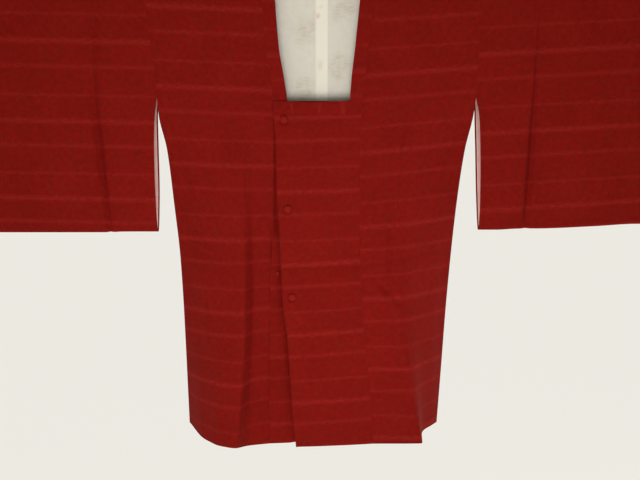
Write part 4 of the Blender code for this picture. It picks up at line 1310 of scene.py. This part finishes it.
def liningMaterial():
    # Plain-weave cream silk: smooth, with grey cloud banks and a few pale pink blossoms in the weave
    material, tree, shader, place = liningShader("creamLiningSilk")
    often, far = lining["stray"]
    stray = addNode(tree, "ShaderNodeTexNoise", {"Vector": place, "Scale": often, "Detail": 3.0})
    stray = vector(tree, "SUBTRACT", stray.outputs["Color"], (0.5, 0.5, 0.5))
    warped = vector(tree, "ADD", place, vector(tree, "MULTIPLY", stray, (far, far, far)))
    clouds, (width, _, height) = 0.0, lining["tile"]
    for x, drop, halfX, halfZ in lining["clouds"]:
        local = vector(tree, "ADD", warped, (width / 2 - x, 0, height / 2 - coat["shoulderZ"] + drop))
        for backX, backZ in ((width, height), (-width / 2, -height / 2)):  # again in each tile
            local = vector(tree, "MODULO", local, lining["tile"])
            local = vector(tree, "ADD", local, (backX, 0, backZ))
        clouds = calc(tree, "MAXIMUM", clouds, spotAt(tree, local, halfX, halfZ, 0.45, 1.30, 1))

    # Inside the clouds run faint waves, and their tone comes and goes
    inputs = {"Vector": warped, "Scale": 0.31 / lining["wave"], "Distortion": 5.0, "Detail": 2.0,
              "Detail Scale": 1.2}
    waves = addNode(tree, "ShaderNodeTexWave", inputs, bands_direction="Z").outputs[1]
    broken = noise(tree, place, 70.0, 3.0)
    depth = calc(tree, "MULTIPLY", clouds, spread(tree, waves, 0, 1, 0.45, 1.0))
    depth = calc(tree, "MULTIPLY", depth, spread(tree, broken, 0.35, 0.65, 0.35, 1.15))

    x, y, _ = addNode(tree, "ShaderNodeSeparateXYZ", {0: place}).outputs
    left, right = lining["bandEdges"]
    band = calc(tree, "MULTIPLY", calc(tree, "GREATER_THAN", x, left), calc(tree, "LESS_THAN", x, right))
    band = calc(tree, "MULTIPLY", band, calc(tree, "GREATER_THAN", y, lining["bandBehind"]))

    blossoms = 0.0
    for x, drop, halfX, halfZ, strength in lining["flowers"]:
        local = vector(tree, "ADD", place, (-x, 0, drop - coat["shoulderZ"]))
        blossoms = calc(tree, "MAXIMUM", blossoms, spotAt(tree, local, halfX, halfZ, 0.2, 1.2, strength))
    blossoms = calc(tree, "MULTIPLY", blossoms, spread(tree, broken, 0.40, 0.60, 0.4, 1.2))

    mottle = spread(tree, noise(tree, place, 90.0, 3.0), 0.3, 0.7, 0, 0.30)
    base = blend(tree, calc(tree, "ADD", depth, mottle, use_clamp=True), lining["cream"], lining["cloud"])
    colour = blend(tree, blossoms, blend(tree, band, base, lining["seamBand"]), lining["pink"])
    cover(tree, shader, colour, noise(tree, place, lining["weave"], 1.0), 0.0001, 0.4)
    return material


def sleeveLiningMaterial():
    # The same smooth silk in a pale pink, a little uneven in tone. The pink is partly the silk's own tint
    # and partly painted red light bounced off the crepe
    material, tree, shader, place = liningShader("palePinkBounceLiningSilk")
    tone = spread(tree, noise(tree, place, 45.0, 4.0), 0.3, 0.7, 0, 0.45)
    colour = blend(tree, tone, lining["sleevePinkAndBounce"], lining["cream"])
    cover(tree, shader, colour, noise(tree, place, lining["weave"], 1.0), 0.0001, 0.4)
    return material


beech = {
    "pale": "CDA878",
    "brown": "B58A5A",
    "fleck": "8A6238",
    "grainScale": (9.0, 260.0, 260.0),  # long along the rod
    "fleckScale": (160.0, 900.0, 900.0),
    "fleckFrom": (0.62, 0.72),
    "fleckStrength": 0.6,
}


def beechMaterial():
    # Waxed beech, turned: pale brown with short dark flecks along the grain
    material, tree, shader = newMaterial("waxedBeech", Roughness=0.42, IOR=1.5)
    place = addNode(tree, "ShaderNodeTexCoord").outputs["Object"]
    grain = noise(tree, stretched(tree, place, beech["grainScale"]), 1.0, 5.0)
    flecks = noise(tree, stretched(tree, place, beech["fleckScale"]), 1.0, 1.0)
    base = blend(tree, spread(tree, grain, 0.3, 0.7), beech["pale"], beech["brown"])
    share = spread(tree, flecks, *beech["fleckFrom"], 0, beech["fleckStrength"])
    cover(tree, shader, blend(tree, share, base, beech["fleck"]), grain, 0.0002, 0.3)
    return material


wire = {"nickel": "C9C6BE", "lines": 600.0, "roughness": 0.22, "drawnRoughness": (0.17, 0.30)}


def wireMaterial():
    # Nickel-plated steel wire: bright, with fine drawn lines that blur the gloss
    material, tree, shader = newMaterial("nickelPlatedWire", Roughness=wire["roughness"], Metallic=1.0,
                                         Base_Color=linear(wire["nickel"]))
    place = addNode(tree, "ShaderNodeTexCoord").outputs["Object"]
    lines = noise(tree, place, wire["lines"], 2.0)
    rough = spread(tree, lines, 0.3, 0.7, *wire["drawnRoughness"])
    tree.links.new(rough, shader.inputs["Roughness"])
    return material


# Put the pieces in place

crimsonCrepe = crepeMaterial("crimsonSilkCrepe")
coverCrepe = crepeMaterial("buttonCoverCrepe")
creamSilk = liningMaterial()
# the sleeve lining: pale pink, partly painted red bounce light from the crepe
pinkAndBounceSilk = sleeveLiningMaterial()


def dress(obj, slot, *nodes):
    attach(obj, "root")
    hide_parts(*nodes)
    return obj


rod = dress(makeRod(), "beech", "hanger_rod")
rod.data.materials.append(beechMaterial())
hook = dress(makeHook(), "wire", "hanger_hook")
hook.data.materials.append(wireMaterial())
print("hanger made")


def hang(obj, node, silk=None):  # without silk it is outer cloth, in crepe
    if silk:
        giveWall(obj, coat["lining"], coat["thinEdgeRound"], silk)
    else:
        giveWall(obj, coat["cloth"], coat["edgeRound"], crimsonCrepe)
    dress(obj, "lining" if silk else "crepe", node)


for side in ("right", "left"):
    for kind, grids, outerPly, liningPly, silk in (
        ("body", bodyGrids, outerBody, liningBody, creamSilk),
        ("sleeve", sleeveGrids, outerSleeve, liningSleeve, pinkAndBounceSilk),
    ):
        hang(makeSheet(kind, side, grids, outerPly), kind + "_" + side)
        inside = makeSheet(kind, side, grids, liningPly)
        hang(inside, kind + "_lining_" + side, silk)
    print("body and sleeve made:", side)

under = makePanel("frontPanelUnder", underPanelRow, panels["underWidth"], False)
hang(under, "front_panel_under")
over = makePanel("frontPanelOver", overPanelRow, panels["overWidth"], True)
hang(over, "front_panel_over")
band = dress(makeCollar(), "crepe", "collar")
giveWall(band, collar["cloth"], coat["thinEdgeRound"], crimsonCrepe)
print("panels and neck band made")

for node, dome in makeButtons().items():
    dome.data.materials.append(coverCrepe)
    dress(dome, "covered_button", node)
print("buttons made")


# Room: pale floor, soft studio light, camera where the photograph's was

room = {
    "background": "EFECE5",
    "lightColour": "FFFBF3",
    "worldFront": 0.10,  # light from where the viewer stands, and from behind the coat
    "worldBehind": 1.60,
    "worldTurns": (-0.3, 0.5),
    "floor": "F0EDE6",
    "floorGlow": 0.88,
    "floorZ": -1.5,
    "floorReach": 40,
    "lamps": (  # name, place, size, power
        ("front", (-0.02, -1.10, -0.78), 0.5, 6.9),
        ("left", (-0.90, -1.50, -1.20), 0.8, 2.9),
        ("right", (1.60, 0.10, -0.95), 0.7, 5.8),
        ("upper", (0.00, -1.20, 0.70), 1.0, 2.6),
    ),
    "lampAim": (0, 0, -0.55),
    "cameraPlace": (0.0065, -1.38858, -0.36816),
    "pitch": 10.0,
    "lens": 41.0,
    "film": 36.0,
}


def makeFloor():
    reach, z = room["floorReach"], room["floorZ"]
    mesh = bpy.data.meshes.new("floor")
    corners = ((-reach, -reach, z), (reach, -reach, z), (reach, reach, z), (-reach, reach, z))
    mesh.from_pydata(corners, [], [(0, 1, 2, 3)])
    material, tree, shader = newMaterial("paleFloor", Roughness=0.9, Specular_IOR_Level=0.1,
                                         Base_Color=linear(room["floor"]))
    glow = addNode(tree, "ShaderNodeEmission", {"Color": linear(room["background"])})
    seen = addNode(tree, "ShaderNodeLightPath").outputs["Is Camera Ray"]
    share = calc(tree, "MULTIPLY", seen, room["floorGlow"])
    mixed = addNode(tree, "ShaderNodeMixShader", {0: share, 1: shader.outputs[0], 2: glow.outputs[0]})
    tree.links.new(mixed.outputs[0], tree.nodes["Material Output"].inputs[0])
    mesh.materials.append(material)
    addToScene("floor", mesh)


def makeWorld():
    world = bpy.data.worlds.new("softRoom")
    bpy.context.scene.world = world
    world.use_nodes = True
    tree = world.node_tree
    tree.nodes.clear()
    way = addNode(tree, "ShaderNodeTexCoord").outputs["Generated"]
    depth = addNode(tree, "ShaderNodeSeparateXYZ", {0: way}).outputs[1]
    ends = (*room["worldTurns"], room["worldFront"], room["worldBehind"])
    strength = spread(tree, depth, *ends, "SMOOTHSTEP")
    lightColour = linear(room["lightColour"])
    light = addNode(tree, "ShaderNodeBackground", {"Color": lightColour, "Strength": strength})
    shown = addNode(tree, "ShaderNodeBackground", {"Color": linear(room["background"]), "Strength": 1.0})
    seen = addNode(tree, "ShaderNodeLightPath").outputs["Is Camera Ray"]
    chosen = addNode(tree, "ShaderNodeMixShader", {0: seen, 1: light.outputs[0], 2: shown.outputs[0]})
    addNode(tree, "ShaderNodeOutputWorld", {0: chosen.outputs[0]})


def makeLamps():
    for name, place, size, power in room["lamps"]:
        light = bpy.data.lights.new(name + "Light", "AREA")
        light.energy = power
        light.size = size
        light.color = linear(room["lightColour"])[:3]
        lamp = addToScene(name + "Light", light)
        lamp.location = place
        aim = mathutils.Vector(room["lampAim"]) - lamp.location
        lamp.rotation_euler = aim.to_track_quat("-Z", "Y").to_euler()
        lamp.visible_camera = False


def makeCamera():
    lens = bpy.data.cameras.new("camera")
    lens.lens = room["lens"]
    lens.sensor_width = room["film"]
    camera = addToScene("camera", lens)
    camera.location = room["cameraPlace"]
    camera.rotation_euler = (math.radians(90 - room["pitch"]), 0, 0)
    bpy.context.scene.camera = camera
    bpy.context.scene.view_settings.view_transform = "Standard"


makeFloor()
makeWorld()
makeLamps()
makeCamera()
print("room made")
